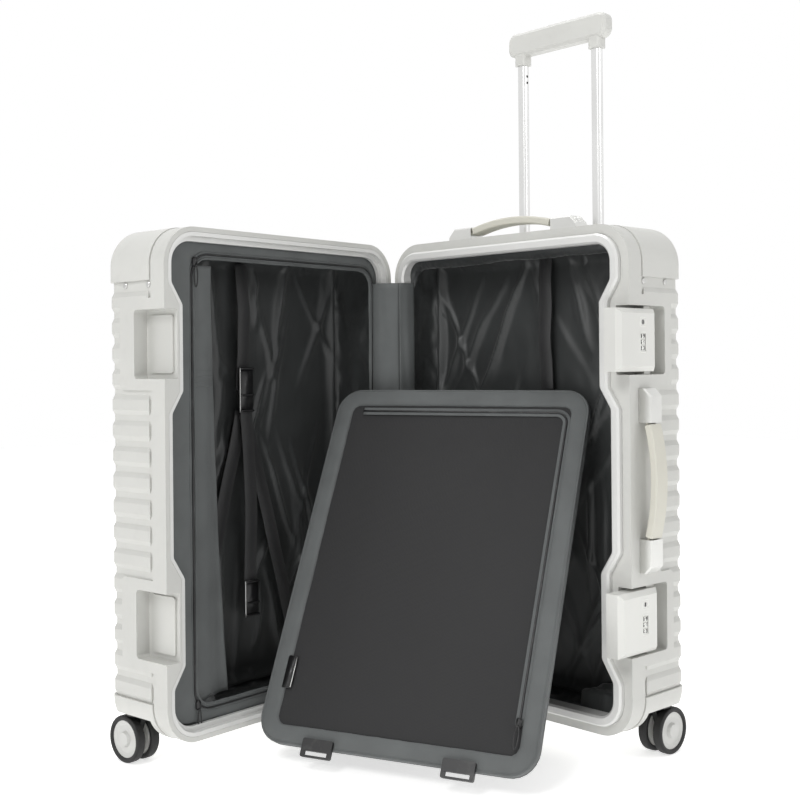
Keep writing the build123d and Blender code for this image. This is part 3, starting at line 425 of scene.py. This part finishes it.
def displace(obj, amount, scale, seed):
    """Push points along their normals by the crease height."""
    work = bmesh.new()
    work.from_mesh(obj.data)
    work.normal_update()
    moves = [v.normal * (folds(v.co, scale, seed) - 0.35) * amount for v in work.verts]
    for v, move in zip(work.verts, moves):
        v.co += move
    work.to_mesh(obj.data)
    work.free()


def band(name, line, across, width, thick, material, body, replaced=(), bulge=0.0):
    """A strap along a line of points: across gives its width direction at each point."""
    count = len(line)
    points = []
    for i, p in enumerate(line):
        before, after = line[max(i - 1, 0)], line[min(i + 1, count - 1)]
        along = (after - before).normalized()
        side = across[i] if isinstance(across, list) else across
        side = (side - along * side.dot(along)).normalized()
        up = along.cross(side).normalized()
        w, t = width / 2 * MM, thick / 2 * MM
        ring = [(-w, -t * 0.4), (-w * 0.96, -t), (0, -t - bulge * MM), (w * 0.96, -t), (w, -t * 0.4),
                (w, t * 0.4), (w * 0.96, t), (0, t + bulge * MM), (-w * 0.96, t), (-w, t * 0.4)]
        points += [p + side * a + up * b for a, b in ring]
    faces = grid_faces(count, 10, close_columns=True)
    faces += [tuple(range(10))[::-1], tuple((count - 1) * 10 + k for k in range(10))]
    return piece(name, points, faces, material, body, replaced)


def rod(name, line, radius, material, body, sides=8, closed=False):
    """A round tube along a line of points in metres."""
    count = len(line)
    points = []
    for i, p in enumerate(line):
        before = line[i - 1] if (i or closed) else p
        after = line[(i + 1) % count] if (i < count - 1 or closed) else p
        along = (after - before).normalized()
        side = along.orthogonal() if abs(along.z) > 0.9 else along.cross(Vector((0, 0, 1)))
        side.normalize()
        up = along.cross(side)
        points += [p + (side * cos(2 * pi * k / sides) + up * sin(2 * pi * k / sides)) * radius * MM
                   for k in range(sides)]
    faces = grid_faces(count, sides, close_rows=closed, close_columns=True)
    if not closed:
        faces += [tuple(range(sides))[::-1], tuple((count - 1) * sides + k for k in range(sides))]
    return piece(name, points, faces, material, body)


def soften(obj, width, segments=2):
    """Round an object's hard edges and keep its shading clean."""
    work = bmesh.new()
    work.from_mesh(obj.data)
    edges = [e for e in work.edges if len(e.link_faces) == 2 and e.calc_face_angle() > radians(30)]
    bmesh.ops.bevel(work, geom=edges, offset=width * MM, segments=segments, affect="EDGES",
                    clamp_overlap=True)
    work.to_mesh(obj.data)
    work.free()
    obj.data.polygons.foreach_set("use_smooth", [True] * len(obj.data.polygons))


def thicken(obj, thickness, offset=-1.0):
    """Give a cloth its thickness in millimetres."""
    solid = obj.modifiers.new("thickness", "SOLIDIFY")
    solid.thickness = thickness * MM
    solid.offset = offset


def slab(name, centre, x_way, y_way, sizes, material, body, edge=0.6, replaced=()):
    """A block with rounded edges: sizes in millimetres along x_way, y_way and their normal."""
    z_way = x_way.cross(y_way).normalized()
    half = [s / 2 * MM for s in sizes]
    points = []
    for a in (-1, 1):
        for b in (-1, 1):
            for c in (-1, 1):
                points.append(centre + x_way * half[0] * a + y_way * half[1] * b + z_way * half[2] * c)
    faces = [(0, 1, 3, 2), (4, 6, 7, 5), (0, 4, 5, 1), (2, 3, 7, 6), (0, 2, 6, 4), (1, 5, 7, 3)]
    obj = piece(name, points, faces, material, body, replaced)
    soften(obj, edge)
    return obj


# %% [markdown]
# ## Linings
# Each half has creased cloth walls that follow the rim, with a rounded turn at
# the back, and a creased cloth across its back. The base has a gathered hem at
# the top.


# %%
BAY_START, BAY_REACH, BAY_TOP = 20.0, 94.0, 78.0
BASE_BACK, LID_BACK = 74.0, 102.0
BASE_STRAP_Y, STRAP_Y = -236.0, -216.0
WALL_INSET, WALL_TURN, WALL_TUCK = 12.8, 16.0, 12.0


def over_bay(p):
    """Lift a point of the lining over the caster's bay in each lower corner."""
    beside = min(p.y + WIDTH, -p.y) < BAY_REACH
    if p.x > BAY_START and beside and p.z < BAY_TOP:
        return Vector((p.x, p.y, BAY_TOP))
    return p


def lining(name, place, start, end, body, replaced, amount, seed):
    """The creased cloth walls inside one half."""
    inset, turn = WALL_INSET, WALL_TURN
    profile = [(inset, start + (end - turn - start) * k / 12) for k in range(13)]
    for k in range(1, 6):
        angle = pi / 2 * k / 5
        profile.append((inset + turn * (1 - cos(angle)), end - turn + turn * sin(angle)))
    rings = []
    for ring_inset, depth in profile:
        rings.append([Vector((depth, p.x, p.y)) for p in rim_path(ring_inset, 6.0, 5)])
    last_ring = rings[-1]
    for share in (0.08, 0.2):
        rings.append([Vector((end + WALL_TUCK, p.y + (MID_Y - p.y) * share, p.z + (MID_Z - p.z) * share))
                      for p in last_ring])
    points = [place(*over_bay(p)) for ring in rings for p in ring]
    faces = grid_faces(len(rings), len(rings[0]), close_columns=True)
    obj = piece(name, points, faces, LINING, body, replaced)
    near_rim = place(start, MID_Y, MID_Z)
    inward = (place(0, MID_Y, MID_Z) - place(1, MID_Y, MID_Z)).normalized()

    def fade(co):
        depth = (near_rim - co).dot(inward) / MM
        return min(max(depth / 14, 0.0), 1.0)

    centre = place(0, MID_Y, MID_Z)
    work = bmesh.new()
    work.from_mesh(obj.data)
    work.normal_update()
    moves = []
    for v in work.verts:
        way = v.normal if v.normal.dot(centre - v.co) > 0 else -v.normal
        tall = Vector((v.co.x, v.co.y, v.co.z * 0.45))
        height = folds(tall, 22, seed) * 0.7 + folds(v.co, 48, seed + 3) * 0.3
        moves.append(way * (height * amount - 2.0) * MM * fade(v.co))
    for v, move in zip(work.verts, moves):
        v.co += move
    work.to_mesh(obj.data)
    work.free()
    thicken(obj, LINING_THICK, 0)


lining("base_lining_cloth", on_base, 3.5, BASE_BACK, "base", ["base_lining"], 12.0, 2.0)
lining("lid_lining_cloth", on_lid, 15.0, LID_BACK, "lid", ["lid_lining"], 11.0, 7.0)


def crease_lines(seed, count):
    """Long creases at random: two ends, a width and a height each."""
    noise.seed_set(seed)
    lines = []
    for k in range(count):
        y, z = -30 - 360 * noise.random(), 70 + 570 * noise.random()
        lean = (noise.random() - 0.5) * 1.3
        length = 90 + 230 * noise.random()
        lines.append((Vector((y, z)), Vector((sin(lean), cos(lean))), length, 5 + 9 * noise.random(),
                      3 + 6 * noise.random()))
    return lines


def crease_height(lines, y, z):
    """How far the cloth stands out where creases cross a point."""
    total = 0.0
    for start, way, length, width, height in lines:
        offset = Vector((y, z)) - start
        share = offset.dot(way) / length
        if -0.5 < share < 0.5:
            wander = 7 * noise.noise(Vector((share * 3, start.x, start.y)))
            across = (offset.dot(Vector((way.y, -way.x))) + wander) / width
            across = across / 0.35 if across < 0 else across
            total += height * cos(pi * share) / (1 + across * across) ** 1.5
    return total


def lining_back(name, place, end, body, seed, strap_y):
    """The creased cloth across the back of one half."""
    lines = crease_lines(seed, 46)
    low_y, high_y, low_z, high_z = -WIDTH + 34, -26.0, FLOOR_GAP + 26, TOP_Z - 26
    rows, columns = 170, 110
    points = []
    for r in range(rows):
        for c in range(columns):
            y = low_y + (high_y - low_y) * c / (columns - 1)
            z = low_z + (high_z - low_z) * r / (rows - 1)
            edge = min(y - low_y, high_y - y, z - low_z, high_z - z)
            turn = max(0.0, 1 - edge / 16) ** 2 * 11
            calm = 0.35 + 0.65 * min(abs(y - strap_y) / 26, 1.0)
            height = min(crease_height(lines, y, z), 13) * calm * min(edge / 10 + 0.2, 1.0)
            small = 1.2 * noise.noise(Vector((y * 0.05, z * 0.02, seed)))
            points.append(place(*over_bay(Vector((end - turn - height - small, y, z)))))
    back = piece(name, points, grid_faces(rows, columns), LINING, body)
    thicken(back, LINING_THICK, 0)


lining_back("base_back_cloth", on_base, BASE_BACK, "base", 5, BASE_STRAP_Y)
lining_back("lid_back_cloth", on_lid, LID_BACK, "lid", 12, STRAP_Y)


def gathered_roll(name, place, line, depth, radius, body, seed):
    """A soft rolled hem of lining along (y, z) points, gathered all along."""
    count, sides = len(line), 20
    points = []
    for i, p in enumerate(line):
        t = i / (count - 1)
        along = (line[min(i + 1, count - 1)] - line[max(i - 1, 0)]).normalized()
        into = Vector((along.y, -along.x))
        if into.dot(Vector((MID_Y, MID_Z)) - p) < 0:
            into = -into
        taper = min(t * 14, (1 - t) * 14, 1.0) ** 0.5
        for k in range(sides):
            angle = 2 * pi * k / sides
            swell = 1 + 0.22 * noise.noise(Vector((t * 6, cos(angle) * 0.7, seed + sin(angle) * 0.7)))
            pinch = (1 - abs(noise.noise(Vector((t * 24 + 2 * sin(angle), cos(angle), seed + 4))))) ** 5
            gather = pinch * (0.1 + 0.22 * max(0.0, 1 - min(t, 1 - t) * 5))
            r = radius * taper * (swell - gather)
            q = p + into * (radius * 0.9 + r * cos(angle) * 1.1)
            points.append(place(depth + radius + r * sin(angle) * 0.9, q.x, q.y))
    faces = grid_faces(count, sides, close_columns=True)
    faces += [tuple(range(sides))[::-1], tuple((count - 1) * sides + k for k in range(sides))]
    piece(name, points, faces, LINING, body)


hem = rim_path(13.0, 2.5, 12)
start = max(range(len(hem)), key=lambda i: -hem[i].y if hem[i].x > -30 else -1e9)
hem = hem[start:] + hem[:start]
top_run = [p for p in hem if p.y > TOP_Z - 66]
gathered_roll("base_top_hem", on_base, top_run, 2.0, 11.5, "base", 21)

# %% [markdown]
# ## Lid border, zip and flap
# A grey cloth border closes the lid's mouth. Its window is zipped, and the
# near side hangs in as a loose flap.

# %%
BORDER_X = 16.0
WINDOW_LATCH, WINDOW_HINGE = -(WIDTH - 61.0), -30.0
WINDOW_LOW, WINDOW_TOP = FLOOR_GAP + 38.0, TOP_Z - 38.0
ZIP_OUT = 6


def matched(path, low_y, high_y, low_z, high_z, radius):
    """Points of a rounded window, one for each point of an outer path."""
    dense = window_path(low_y, high_y, low_z, high_z, radius, 720)
    centre = Vector(((low_y + high_y) / 2, (low_z + high_z) / 2))
    result = []
    for p in path:
        ray = (p - centre).normalized()
        result.append(max(dense, key=lambda q: (q - centre).normalized().dot(ray)))
    return result


outer = rim_path(12.3, 6.0, 6)
inner = matched(outer, WINDOW_LATCH, WINDOW_HINGE, WINDOW_LOW, WINDOW_TOP, 22.0)
profile = [(0.0, 2.6), (0.0, 1.0), (0.03, 0.15), (0.12, -0.35), (0.35, -0.6), (0.65, -0.6),
           (0.88, -0.3), (0.97, 0.2), (1.0, 1.2), (0.99, 2.2), (0.9, 2.7), (0.5, 2.9)]
rings = [[Vector((BORDER_X + depth, p.x, p.y)) for p in (o.lerp(i, share) for o, i in zip(outer, inner))]
         for share, depth in profile]
points = [on_lid(*p) for ring in rings for p in ring]
faces = grid_faces(len(rings), len(outer), close_rows=True, close_columns=True)
border = piece("lid_border_cloth", points, faces, BORDER, "lid", ["lid_border"])
displace(border, 0.0009, 20, 4)


def zip_line(name, path, place, depth, body):
    """A zip: a coil between two stitched seams."""
    centre = sum((Vector(p) for p in path), Vector((0, 0))) / len(path)
    line = [place(depth - 1.2, p.x, p.y) for p in path]
    rod(f"{name}_coil", line, 1.3, BLACK, body, sides=6, closed=True)
    for side, offset in (("outer", -4.2), ("inner", 4.2)):
        moved = [p + (centre - p).normalized() * offset for p in path]
        seam = [place(depth - 0.7, p.x, p.y) for p in moved]
        rod(f"{name}_{side}_seam", seam, 0.7, FLAP, body, sides=5, closed=True)


zip_path = window_path(WINDOW_LATCH - ZIP_OUT, WINDOW_HINGE + ZIP_OUT, WINDOW_LOW - ZIP_OUT,
                       WINDOW_TOP + ZIP_OUT, 26, 240)
zip_line("lid_zip", zip_path, on_lid, BORDER_X, "lid")


def puller(name, at, down, face, body, length=27.0):
    """A zip's slider with its open loop of a pull."""
    side = down.cross(face).normalized()
    slab(f"{name}_slider", at + face * 2.2 * MM, side, down, (7, 11, 4), BLACK, body, 1.0)
    start = at + face * 4.5 * MM + down * 5 * MM
    loop = []
    for k in range(25):
        angle = 2 * pi * k / 24
        across = 2.6 * sin(angle)
        along = length / 2 * (1 - cos(angle))
        loop.append(start + side * across * MM + down * along * MM)
    rod(f"{name}_pull", loop[:-1], 0.9, BLACK, body, sides=6, closed=True)


lid_out = (on_lid(-1, 0, 0) - on_lid(0, 0, 0)).normalized()
down_way = Vector((0, 0, -1))
puller("lid_zip_top", on_lid(BORDER_X - 1, WINDOW_LATCH - 2, WINDOW_TOP - 4), down_way, lid_out, "lid")
puller("lid_zip_low", on_lid(BORDER_X - 1, WINDOW_LATCH - 2, WINDOW_LOW + 2), down_way, lid_out, "lid")


def flap_point(s, t, z, lift):
    """A point of the flap, by its shares of the width and of the height."""
    width = 31 + 38 * t ** 1.3
    fold = sin(s * pi * 2.2 + t * 2.5) * 5.5 * t ** 0.7 * s
    hang = 3 + 17 * s * t + fold + 3.0 * noise.noise(Vector((s * 2, t * 7, 3))) * s
    return on_lid(BORDER_X + lift + hang, WINDOW_LATCH - ZIP_OUT + width * s + 6 * s, z)


rows, columns = 110, 26
points = []
for r in range(rows):
    t = r / (rows - 1)
    z = WINDOW_TOP - 8 + (WINDOW_LOW + 10 - WINDOW_TOP) * t
    points += [flap_point(c / (columns - 1), t, z, 3) for c in range(columns)]
flap = piece("lid_flap_cloth", points, grid_faces(rows, columns), FLAP, "lid")
thicken(flap, CLOTH_THICK)

RIB_LOW, RIB_PITCH = 478, 6.5
for k in range(4):
    z = RIB_LOW + k * RIB_PITCH
    t = (WINDOW_TOP - 8 - z) / (WINDOW_TOP - 8 - WINDOW_LOW - 10)
    line = [flap_point(c / (columns - 1), t, z, 1.9) for c in range(columns)]
    rod(f"lid_flap_rib_{k}", line, 0.8, BORDER, "lid", sides=6)

# %% [markdown]
# ## Straps, buckles and clips

# %%
lid_side = (on_lid(0, 1, 0) - on_lid(0, 0, 0)).normalized()
base_side = Vector((0, 1, 0))


def strap_line(place, depth, start, end, sag, seed, count=40):
    """A strap's middle line between two (y, z) points, with a gentle sag out of the half."""
    line = []
    for k in range(count):
        t = k / (count - 1)
        y = start[0] + (end[0] - start[0]) * t
        z = start[1] + (end[1] - start[1]) * t
        lift = sag * sin(pi * t) + 2.2 * noise.noise(Vector((seed, t * 4, 0)))
        line.append(place(depth - lift, y, z))
    return line


STRAP_WIDE, STRAP_THICK = 22, 1.6
KNOT_Z = 440.0
straps = [
    ((STRAP_Y, 645), (STRAP_Y, 470), 89.0, 5.0),
    ((STRAP_Y, 470), (STRAP_Y + 6, 196), 83.0, 7.0),
    ((STRAP_Y - 2, KNOT_Z), (STRAP_Y - 92, 118), 88.0, 2.0),
    ((STRAP_Y + 2, KNOT_Z), (STRAP_Y + 92, 118), 86.0, 2.0),
]
for number, (start, end, depth, sag) in enumerate(straps):
    line = strap_line(on_lid, depth, start, end, sag, number * 3.1)
    band(f"lid_strap_{number}", line, lid_side, STRAP_WIDE, STRAP_THICK, WEBBING, "lid",
         ["lid_straps"] if number == 0 else (), bulge=0.3)


def buckle(name, place, depth, y, low, high, side, body, replaced):
    """A slider buckle: a curved plate, two bars, and a thin steel rod down one side edge that is a painted
    highlight.
    """
    middle = place(depth, y, (low + high) / 2)
    up = Vector((0, 0, 1))
    height = high - low
    slab(f"{name}_plate", middle, side, up, (25, height, 4), BLACK, body, 1.2, replaced)
    for k, z in enumerate((low + 2, high - 2, low + height * 0.38)):
        line = [place(depth - 2.6, y - 12 + 24 * t / 8, z) for t in range(9)]
        rod(f"{name}_bar_{k}", line, 1.5, BLACK, body)
    # The steel rod runs down one side edge only: a painted highlight on the black plate.
    edge = [place(depth - 2, y - 12.6, low + height * t / 8) for t in range(9)]
    rod(f"{name}_edge", edge, 1.0, STEEL, body)


buckle("lid_buckle", on_lid, 80.0, STRAP_Y, 440, 502, lid_side, "lid", ["lid_buckle"])
buckle("lid_clip", on_lid, 79.0, STRAP_Y + 6, 157, 207, lid_side, "lid", [])

line = strap_line(on_base, 64.0, (BASE_STRAP_Y, 650), (BASE_STRAP_Y, 466), 4.0, 11)
band("base_strap_band", line, base_side, STRAP_WIDE, STRAP_THICK, WEBBING, "base", ["base_strap"],
     bulge=0.3)
buckle("base_buckle", on_base, 60.0, BASE_STRAP_Y, 424, 466, base_side, "base", ["base_buckle"])
line = strap_line(on_base, 64.0, (BASE_STRAP_Y, 424), (BASE_STRAP_Y + 8, 120), 4.0, 15)
band("base_strap_tail", line, base_side, STRAP_WIDE, STRAP_THICK, WEBBING, "base", bulge=0.3)

# %% [markdown]
# ## Hinge cover
# Cloth that bridges the gap between the halves. It is made as two pieces.

# %%
cover_in = FRAME_INSET + 13 + 2.4
COVER_LOW, COVER_HIGH = 93.0, 623.0
COVER_PULL, COVER_EASE, COVER_SPLIT = 1.15, 0.225, 0.38
first = Vector((12.0, -cover_in))
second = Vector((-10.0, -cover_in - 1))
third = (on_lid(-9, -cover_in, 0) - ORIGIN) / MM
fourth = (on_lid(12, -cover_in, 0) - ORIGIN) / MM
cover_points = [first, second, Vector((third.x, third.y)), Vector((fourth.x, fourth.y))]


def cover_point(t):
    """A point on a smooth curve through the cover's four corners."""
    a, b, c, d = cover_points
    u = 1 - t
    near = b * 3 * COVER_PULL - a * COVER_EASE - d * COVER_EASE
    far = c * 3 * COVER_PULL - a * COVER_EASE - d * COVER_EASE
    return a * u ** 3 + near * u * u * t + far * u * t * t + d * t ** 3


cover_halves = [
    ("base", 0.0, COVER_SPLIT, ("base", "hinge_pins")),
    ("lid", COVER_SPLIT, 1.0, ("hinge_pins", "lid")),
]
for half, low, high, bodies in cover_halves:
    rows, columns = 60, 14
    points = []
    for r in range(rows):
        z = COVER_LOW + (COVER_HIGH - COVER_LOW) * r / (rows - 1)
        for c in range(columns):
            t = low + (high - low) * c / (columns - 1)
            p = cover_point(t)
            ease = sin(pi * t)
            swell = 1.6 * ease * noise.noise(Vector((t * 6, z * 0.012, 5)))
            points.append(ORIGIN + Vector((p.x - swell, p.y - swell, z)) * MM)
    cover = piece(f"hinge_cover_{half}", points, grid_faces(rows, columns), FLAP, None,
                  ["hinge_cover"] if half == "base" else ())
    thicken(cover, CLOTH_THICK, 0)
    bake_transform(cover)

# %% [markdown]
# ## Divider
# A padded cloth border round a panel of mesh, with a zip along two sides.

# %%
DIVIDER_WIDE, DIVIDER_TALL = 374.0, 503.0
DIVIDER_STEPS = 220
yaw, lean = radians(21.3), radians(29.0)
along = Vector((sin(yaw), -cos(yaw), 0))
behind = Vector((cos(yaw), sin(yaw), 0))
outward = Vector((0, 0, 1)) * sin(lean) - behind * cos(lean)
upward = behind * sin(lean) + Vector((0, 0, 1)) * cos(lean)
foot = ORIGIN + Vector((-300.0, -53.0, 28.0)) * MM


def on_divider(a, b, c):
    """A point of the divider: across, up, and out of its front, in millimetres."""
    return foot + (along * a + upward * b + outward * c) * MM


def divider_path(inset, radius):
    """The divider's outline set in by a distance."""
    return window_path(inset, DIVIDER_WIDE - inset, inset, DIVIDER_TALL - inset, radius, DIVIDER_STEPS)


RING = 24.0
profile = [(0.4, -2.0), (0.0, -6.0), (0.4, -10.0), (2.4, -11.8), (8.0, -12.0),
           (16.0, -12.0), (22.0, -11.4), (24.0, -9.0), (24.2, -5.0), (23.4, -2.0),
           (21.5, -0.7), (16.0, -0.2), (10.0, 0.0), (4.5, -0.1), (2.0, -0.7)]
points = []
for inset, depth in profile:
    points += [on_divider(p.x, p.y, depth) for p in divider_path(inset, max(34 - inset, 10))]
faces = grid_faces(len(profile), DIVIDER_STEPS, close_rows=True, close_columns=True)
border = piece("divider_border_cloth", points, faces, BORDER, "divider", ["divider_border"])
displace(border, 0.0008, 30, 9)
for side, depth in (("front", -1.4), ("back", -10.8)):
    path = [on_divider(p.x, p.y, depth) for p in divider_path(1.0, 33)]
    rod(f"divider_piping_{side}", path, 1.5, FLAP, "divider", sides=7, closed=True)

rows, columns = 80, 60
points = []
for r in range(rows):
    t = r / (rows - 1)
    for c in range(columns):
        s = c / (columns - 1)
        edge = min(s, 1 - s, t, 1 - t)
        dip = 2.2 * min(edge * 8, 1.0) + 1.6 * noise.noise(Vector((s * 3, t * 4, 8))) * min(edge * 12, 1)
        points.append(on_divider(20 + (DIVIDER_WIDE - 40) * s, 20 + (DIVIDER_TALL - 40) * t, -3.4 - dip))
faces = grid_faces(rows, columns)
panel = piece("divider_mesh_cloth", points, faces, MESH, "divider", ["divider_mesh"])
thicken(panel, CLOTH_THICK)


def open_run(path_points, width, name, material, lift):
    """A flat tape along points of the divider's face."""
    line = [on_divider(a, b, lift) for a, b in path_points]
    sides = []
    for i in range(len(line)):
        before, after = line[max(i - 1, 0)], line[min(i + 1, len(line) - 1)]
        sides.append((after - before).normalized().cross(outward))
    return band(name, line, sides, width, 1.0, material, "divider")


ZIP_START, ZIP_END, ZIP_TURN = 42.0, 60.0, 16.0
ZIP_SIDE, ZIP_TOP = DIVIDER_WIDE - 28.0, DIVIDER_TALL - RING - 9.0
turn_x, turn_z = ZIP_SIDE - ZIP_TURN, ZIP_TOP - ZIP_TURN
zip_run = [(ZIP_START + (turn_x - ZIP_START) * k / 40, ZIP_TOP) for k in range(41)]
for k in range(1, 11):
    angle = pi / 2 * k / 10
    zip_run.append((turn_x + ZIP_TURN * sin(angle), turn_z + ZIP_TURN * cos(angle)))
zip_run += [(ZIP_SIDE, turn_z - (turn_z - ZIP_END) * k / 50) for k in range(1, 51)]
open_run(zip_run, 11.0, "divider_zip_tape", BORDER, -2.6)
coil = [on_divider(a, b, -1.6) for a, b in zip_run]
rod("divider_zip_coil", coil, 1.5, BLACK, "divider", sides=6)
puller("divider_zip", on_divider(ZIP_SIDE, ZIP_END + 2, -1.4), -upward, outward, "divider")
TAB_UP = 90
tab_at, highlight_at = on_divider(RING + 2, TAB_UP, -0.6), on_divider(RING + 8.2, TAB_UP, 0.6)
slab("divider_side_tab", tab_at, along, upward, (13, 42, 2), BLACK, "divider", 0.6,
     ["divider_tab"])
# A thin steel strip down one edge of the black tab: a painted highlight.
slab("divider_side_highlight", highlight_at, along, upward, (1.6, 40, 1.4), STEEL, "divider", 0.4)
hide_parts("divider_puller")

# %% [markdown]
# ## Small fittings
# Figures on the dials, the window and key surrounds on each lock, and the small
# pins in the trolley's tube.


# %%
def text_mesh(name, words, size):
    """A flat mesh of a figure, facing +Z, centred on its origin."""
    curve = bpy.data.curves.new(name, "FONT")
    curve.body = words
    curve.size = size * MM
    curve.align_x = "CENTER"
    curve.align_y = "CENTER"
    curve.extrude = 0.00005
    curve.offset = 0.00022
    holder = bpy.data.objects.new(name, curve)
    bpy.context.collection.objects.link(holder)
    bpy.context.view_layer.update()
    mesh = bpy.data.meshes.new_from_object(holder.evaluated_get(bpy.context.evaluated_depsgraph_get()))
    bpy.data.objects.remove(holder)
    return mesh


DIAL_R = 7.5
for side in ("upper", "lower"):
    for number in (1, 2, 3):
        low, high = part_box(f"{side}_latch_dial_{number}")
        centre = (Vector(low) + Vector(high)) / 2
        work = bmesh.new()
        for figure in range(10):
            mesh = text_mesh("figure", str((figure + number * 3) % 10), 6.4)
            angle = 2 * pi * figure / 10
            turn = Matrix.Translation(centre) @ Matrix.Rotation(angle, 4, "Z")
            stand = Matrix.Translation((0, -(DIAL_R + 0.04) * MM, 0)) @ Matrix.Rotation(pi / 2, 4, "X")
            mesh.transform(turn @ stand)
            work.from_mesh(mesh)
        mesh = bpy.data.meshes.new(f"{side}_dial_{number}_figures")
        work.to_mesh(mesh)
        work.free()
        mesh.materials.append(INK)
        obj = bpy.data.objects.new(mesh.name, mesh)
        bpy.context.collection.objects.link(obj)
        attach(obj, f"{side}_dial_{number}")
    low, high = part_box(f"{side}_latch_lever")
    face_y = low[1]
    dial_low, dial_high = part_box(f"{side}_latch_dial_1")
    _, top_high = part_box(f"{side}_latch_dial_3")
    x_mid = (dial_low[0] + dial_high[0]) / 2
    z_mid = (dial_low[2] + top_high[2]) / 2
    key_low, key_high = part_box(f"{side}_latch_key")
    key_mid = (Vector(key_low) + Vector(key_high)) / 2
    for name, centre_x, centre_z, wide, tall, thick in (
            ("window", x_mid, z_mid, 12.4, 25.0, 0.7), ("keyhole", key_mid.x, key_mid.z, 12.0, 12.0, 0.6)):
        path = window_path(-wide / 2, wide / 2, -tall / 2, tall / 2, 2.0, 40)
        line = [Vector((centre_x + p.x * MM, face_y - 0.0001, centre_z + p.y * MM)) for p in path]
        rod(f"{side}_{name}_frame", line, thick / 2, DIAL, f"{side}_latch", sides=8, closed=True)
    # A thin dark plate on the key's face: painted shade standing in for the depth of the key's slot.
    slab(f"{side}_painted_key_slot_shade", Vector((key_mid.x, face_y - 0.00005, key_mid.z)), Vector((1, 0, 0)),
         Vector((0, 0, 1)), (1.8, 5.0, 0.3), PIN_BLACK_AND_PAINTED_SLOT_SHADE, f"{side}_key", 0.1)

TUBE_Y, PIN_DROP, PIN_PITCH = 14.0, 0.045, 0.009
tube_low, tube_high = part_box("trolley_tubes")
for k in (0, 1):
    pin_z = tube_high[2] - PIN_DROP - PIN_PITCH * k
    at = Vector(((tube_low[0] + tube_high[0]) / 2, tube_high[1] - TUBE_Y * MM - 0.0001, pin_z))
    slab(f"trolley_pin_{k}", at, Vector((1, 0, 0)), Vector((0, 0, 1)), (3.2, 3.2, 0.6), PIN_BLACK_AND_PAINTED_SLOT_SHADE, "trolley",
         0.2)

# %% [markdown]
# ## Floor and light

# %%
floor_points = [(-6, -6, 0), (6, -6, 0), (6, 6, 0), (-6, 6, 0)]
floor = bpy.data.meshes.new("floor")
floor.from_pydata(floor_points, [], [(0, 1, 2, 3)])
ground = bpy.data.objects.new("floor", floor)
bpy.context.collection.objects.link(ground)
floor_material = base_material("floor", "#F4F4F3", 0.7, vary=0.01)
floor_shader = floor_material.node_tree.nodes["Principled BSDF"]
floor_shader.inputs["Emission Color"].default_value = linear("#FFFFFF")
floor_shader.inputs["Emission Strength"].default_value = 0.62
floor.materials.append(floor_material)

world = bpy.data.worlds.new("studio")
bpy.context.scene.world = world
world.use_nodes = True
sky = world.node_tree.nodes["Background"]
sky.inputs["Color"].default_value = linear("#FFFFFF")
ray = world.node_tree.nodes.new("ShaderNodeLightPath")
seen = world.node_tree.nodes.new("ShaderNodeMapRange")
seen.inputs["To Min"].default_value = 0.36
seen.inputs["To Max"].default_value = 1.0
either = world.node_tree.nodes.new("ShaderNodeMath")
either.operation = "MAXIMUM"
world.node_tree.links.new(ray.outputs["Is Camera Ray"], either.inputs[0])
world.node_tree.links.new(ray.outputs["Is Glossy Ray"], either.inputs[1])
world.node_tree.links.new(either.outputs["Value"], seen.inputs["Value"])
world.node_tree.links.new(seen.outputs["Result"], sky.inputs["Strength"])


def area_light(name, place, target, size, power):
    """A soft square light aimed at a point."""
    data = bpy.data.lights.new(name, "AREA")
    data.size = size
    data.energy = power
    light = bpy.data.objects.new(name, data)
    bpy.context.collection.objects.link(light)
    light.location = place
    light.rotation_mode = "QUATERNION"
    light.rotation_quaternion = (Vector(target) - Vector(place)).to_track_quat("-Z", "Y")


area_light("key_light", (-2.2, -0.6, 2.3), (0, 0, 0.4), 1.0, 34)
area_light("fill_light", (1.4, -2.6, 1.7), (0, 0, 0.4), 1.2, 15)
area_light("top_light", (0.2, 0.4, 3.0), (0, 0, 0.5), 1.6, 30)
